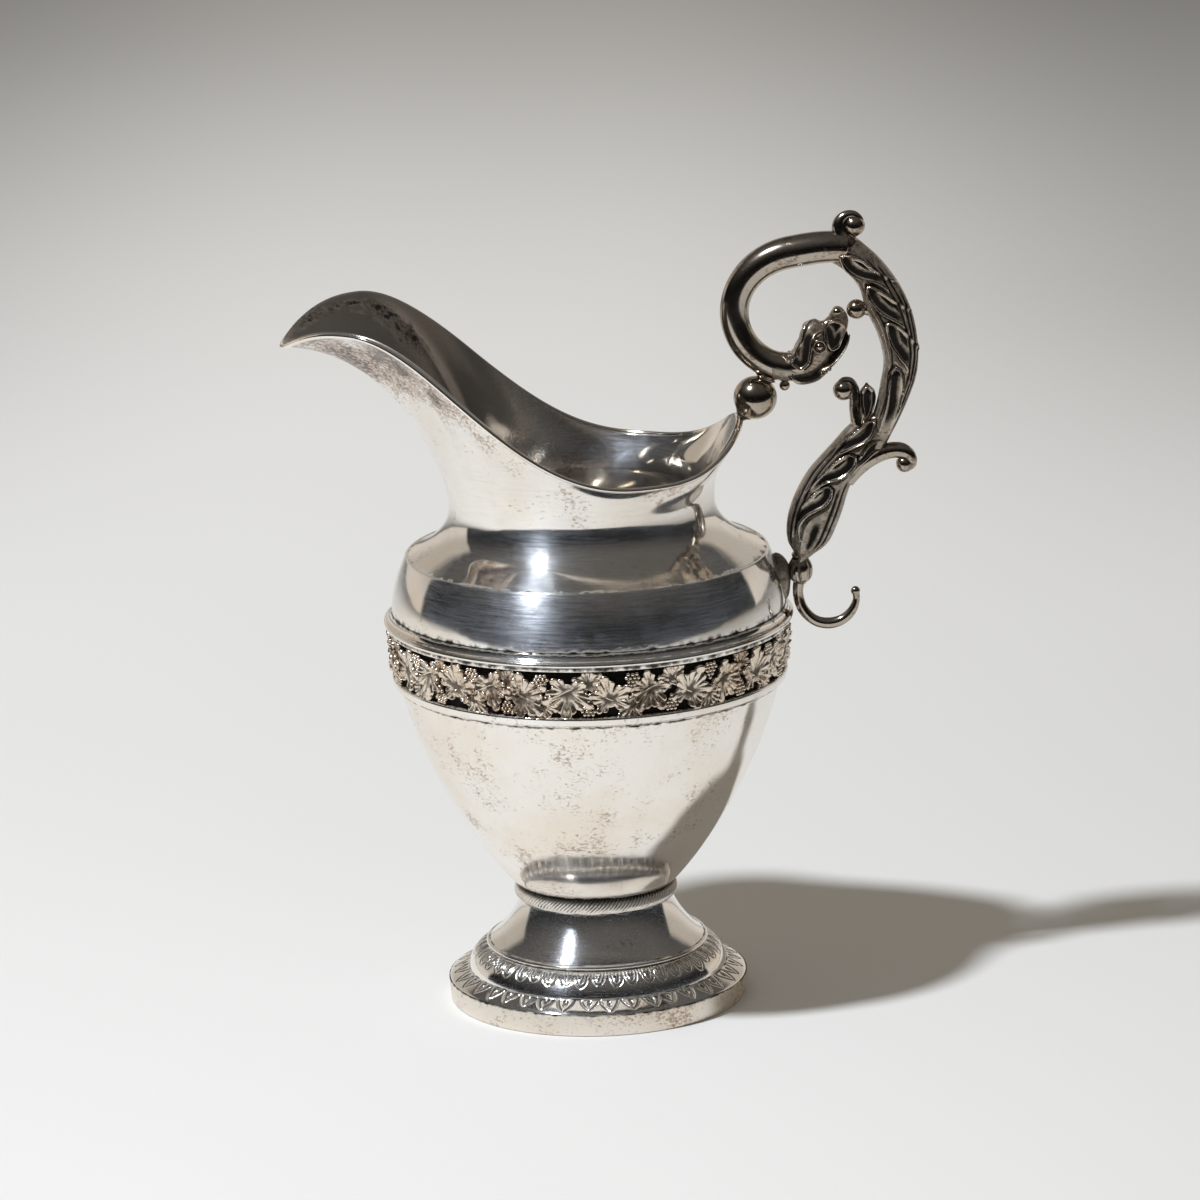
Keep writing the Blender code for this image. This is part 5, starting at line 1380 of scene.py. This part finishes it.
class JUG_OT_fitting(bpy.types.Operator):
    """Calyx, pad and tail hook at the foot of the handle"""
    bl_idname = "jug.fitting"
    bl_label = "Shoulder fitting"

    def execute(self, context):
        """Calyx: a spun bud with six petals, its radius swelling by 0.42 |cos(3a + 0.4)|^0.6 - 0.30;
        pad and hook: tapered tubes."""
        finish = handle_silver()
        profile = [(0.8, 102.5), (1.6, 103.2), (2.6, 104.4), (2.95, 106.0), (2.8, 107.6), (2.2, 108.9),
                   (1.9, 109.6), (2.1, 110.2), (1.7, 110.9)]
        outline = through(profile, 60)
        a = turns(72)
        petal = np.abs(np.cos(3.0 * a + 0.4))[None, :] ** 0.6
        swell = smooth(102.8, 105.0, outline[:, 1:]) * (1.0 - smooth(108.6, 109.4, outline[:, 1:]))
        grid = spun(outline, 72, swell * (0.42 * petal - 0.30))
        soil_and_shade = unit(swell * (1.0 - petal) ** 1.5 + bump(outline[:, 1:], 109.5, 0.5))
        calyx = skin(grid, caps=True, recess=soil_and_shade)
        add_piece("calyx", [moved(calyx, shift=(51.9, 0.0, 0.0))], finish, "bud_collar")
        line = through([(47.5, 98.6, 0.5), (47.5, 99.6, 1.3), (47.4, 102.0, 2.0), (47.1, 105.0, 2.4),
                        (46.5, 108.2, 2.2), (45.9, 110.0, 1.2), (45.6, 110.6, 0.5)], 50)
        # The pad is darkened all over: painted shade of the dark junction between the shoulder and the
        # calyx.
        pad = tube(line[:, :2], line[:, 2], 1.15 * line[:, 2], columns=36, recess=0.55)
        add_piece("pad", [pad], finish, "shoulder_pad")
        hook = [(51.7, 104.2, 1.5), (51.25, 101.1, 1.3), (52.4, 96.5, 1.33), (56.0, 93.2, 1.33),
                (59.1, 92.75, 1.38), (62.2, 93.7, 1.25), (64.7, 96.3, 1.08), (65.5, 99.4, 0.85),
                (65.3, 100.4, 0.95)]
        tip = globe((65.3, 100.7), 1.15, 10, 20)
        add_piece("tail_curl", [drop_tube(hook, 120), tip], finish, "tail_hook")
        return {"FINISHED"}


# Room light, by direction, and where the camera looks on the axis (mm)
ROOM_LOW = (0.008, 0.0078, 0.0078, 1.0)
ROOM_OVERHEAD = (0.105, 0.102, 0.098, 1.0)
WALL_LOW = (0.66, 0.61, 0.55, 1.0)
WALL_HIGH = (0.46, 0.42, 0.37, 1.0)
TABLE_LIGHT = (0.31, 0.28, 0.235, 1.0)
BACKDROP = (0.55, 0.55, 0.54, 1.0)
KEY_COLOUR = (0.93, 0.965, 1.0)
KEY_BASE = 80.0
TABLE_REACH = 6.0
LOOK_AT = (2.86, 100.02)


class JUG_OT_stage(bpy.types.Operator):
    """Pale table, studio light and camera"""
    bl_idname = "jug.stage"
    bl_label = "Stage"

    def execute(self, context):
        studio = context.scene.jug_studio
        self.table(studio)
        self.room(context)
        self.key(studio)
        self.camera(context, studio)
        context.scene.view_settings.view_transform = "Standard"
        return {"FINISHED"}

    def table(self, studio):
        """Two flat sheets: the table, and its front part, which the silver does not mirror.

        Its colour is palest in the middle distance and dims towards the jug, its far edge and its
        sides: painted light, standing for the key light's fall-off."""
        material = bpy.data.materials.new("table_white")
        material.use_nodes = True
        wires = Wires(material.node_tree)
        shader = material.node_tree.nodes["Principled BSDF"]
        place = wires.add("ShaderNodeTexCoord").outputs["Object"]
        split = wires.add("ShaderNodeSeparateXYZ", {0: place}).outputs
        grain = wires.span(wires.noise(place, 3.0, 2.0), 0.3, 0.7, 0.99, 1.0)
        # Painted light: the colour dims round the jug, at the far end and to the sides, standing for
        # the key light's fall-off.
        rise = wires.span(split[1], 0.10, 0.85, studio.near_table_light, 1.0)
        fall = wires.span(split[1], 0.9, 1.9, 1.0, studio.far_table_light)
        aside = wires.span(wires.math("ABSOLUTE", wires.plus(split[0], 0.05)), 0.04, 0.36)
        sides = wires.minus(1.0, wires.times(aside, wires.span(split[1], 0.3, 0.9, 0.05, 0.39)))
        tone = wires.times(wires.times(grain, rise), wires.times(fall, sides))
        pale = wires.blend(tone, (0.0, 0.0, 0.0, 1.0), (*studio.floor, 1.0))
        wires.link(pale, shader, "Base Color")
        shader.inputs["Roughness"].default_value = 0.9
        shader.inputs["Specular IOR Level"].default_value = 0.1
        front, end = -studio.floor_front, TABLE_REACH
        for name, near, far in (("table", front, end), ("table_front", -end, front)):
            mesh = bpy.data.meshes.new(name)
            corners = [(-end, near, 0.0), (end, near, 0.0), (end, far, 0.0), (-end, far, 0.0)]
            mesh.from_pydata(corners, [], [(0, 1, 2, 3)])
            mesh.materials.append(material)
            sheet = bpy.data.objects.new(name, mesh)
            bpy.context.scene.collection.objects.link(sheet)
            sheet.visible_glossy = name == "table"

    def room(self, context):
        """Room light by direction: a white wall low behind, dark elsewhere and lighter overhead; an
        even warm light for the table, and pale grey where the camera sees it."""
        world = bpy.data.worlds.new("studio_room")
        world.use_nodes = True
        context.scene.world = world
        wires = Wires(world.node_tree)
        way = wires.add("ShaderNodeTexCoord").outputs["Generated"]
        split = wires.add("ShaderNodeSeparateXYZ", {0: way}).outputs
        flat = wires.math("SQRT", wires.plus(wires.times(split[0], split[0]),
                                             wires.times(split[1], split[1])))
        away = wires.math("DIVIDE", split[1], wires.math("MAXIMUM", flat, 0.001))
        back = wires.span(away, 0.38, 0.45)
        wall = wires.times(back, wires.span(split[2], 0.58, 0.46))
        dark = wires.blend(wires.span(split[2], 0.15, 0.85), ROOM_LOW, ROOM_OVERHEAD)
        pale = wires.blend(wires.span(split[2], 0.08, 0.30), WALL_LOW, WALL_HIGH)
        room = wires.blend(wall, dark, pale)
        path = wires.add("ShaderNodeLightPath").outputs
        room = wires.blend(path["Is Diffuse Ray"], room, TABLE_LIGHT)
        colour = wires.blend(path["Is Camera Ray"], room, BACKDROP)
        wires.link(colour, world.node_tree.nodes["Background"], "Color")

    def key(self, studio):
        """Small, slightly cool key light high to the left of the camera."""
        light = bpy.data.lights.new("key", "POINT")
        light.shadow_soft_size = studio.key_size
        light.energy = studio.key_power
        light.color = KEY_COLOUR
        lamp = bpy.data.objects.new("key", light)
        flat = studio.key_distance * math.cos(studio.key_rise)
        lamp.location = Vector((AXIS_X - flat * math.sin(studio.key_turn),
                                -flat * math.cos(studio.key_turn),
                                KEY_BASE * MM + studio.key_distance * math.sin(studio.key_rise)))
        bpy.context.scene.collection.objects.link(lamp)

    def camera(self, context, studio):
        """Long lens at the photograph's height and distance, rolled a little."""
        data = bpy.data.cameras.new("camera")
        data.sensor_width = 36.0
        data.lens = studio.lens
        data.clip_end = 50.0
        camera = bpy.data.objects.new("camera", data)
        rise = studio.camera_rise
        target = Vector((AXIS_X + LOOK_AT[0] * MM, 0.0, LOOK_AT[1] * MM))
        place = target + Vector((0.0, -math.cos(rise), math.sin(rise))) * studio.camera_distance
        tilt = Matrix.Rotation(0.5 * math.pi - rise, 4, "X")
        roll = Matrix.Rotation(studio.camera_roll, 4, "Z")
        camera.matrix_world = Matrix.Translation(place) @ tilt @ roll
        context.scene.collection.objects.link(camera)
        context.scene.camera = camera


OPERATORS = (JUG_OT_foot, JUG_OT_rope_ring, JUG_OT_bowl, JUG_OT_band, JUG_OT_frieze, JUG_OT_shoulder,
             JUG_OT_neck, JUG_OT_coil, JUG_OT_leaf_arms, JUG_OT_head, JUG_OT_fitting, JUG_OT_stage)


class JUG_PT_panel(bpy.types.Panel):
    """Steps that dress the jug"""
    bl_idname = "JUG_PT_panel"
    bl_label = "Silver milk jug"
    bl_space_type = "VIEW_3D"
    bl_region_type = "UI"
    bl_category = "Jug"

    def draw(self, context):
        for step in OPERATORS:
            self.layout.operator(step.bl_idname)
        for group in (context.scene.jug_sizes, context.scene.jug_finish, context.scene.jug_studio):
            box = self.layout.box()
            for key in group.bl_rna.properties.keys()[2:]:
                box.prop(group, key)


GROUPS = {"jug_finish": JugFinish, "jug_sizes": JugSizes, "jug_studio": JugStudio}
CLASSES = (*GROUPS.values(), *OPERATORS, JUG_PT_panel)


def register():
    for each in CLASSES:
        bpy.utils.register_class(each)
    for key, group in GROUPS.items():
        setattr(bpy.types.Scene, key, PointerProperty(type=group))


def unregister():
    for key in GROUPS:
        delattr(bpy.types.Scene, key)
    for each in reversed(CLASSES):
        bpy.utils.unregister_class(each)


def main():
    register()
    for step in OPERATORS:
        area, name = step.bl_idname.split(".")
        getattr(getattr(bpy.ops, area), name)()


if __name__ == "__main__":
    main()
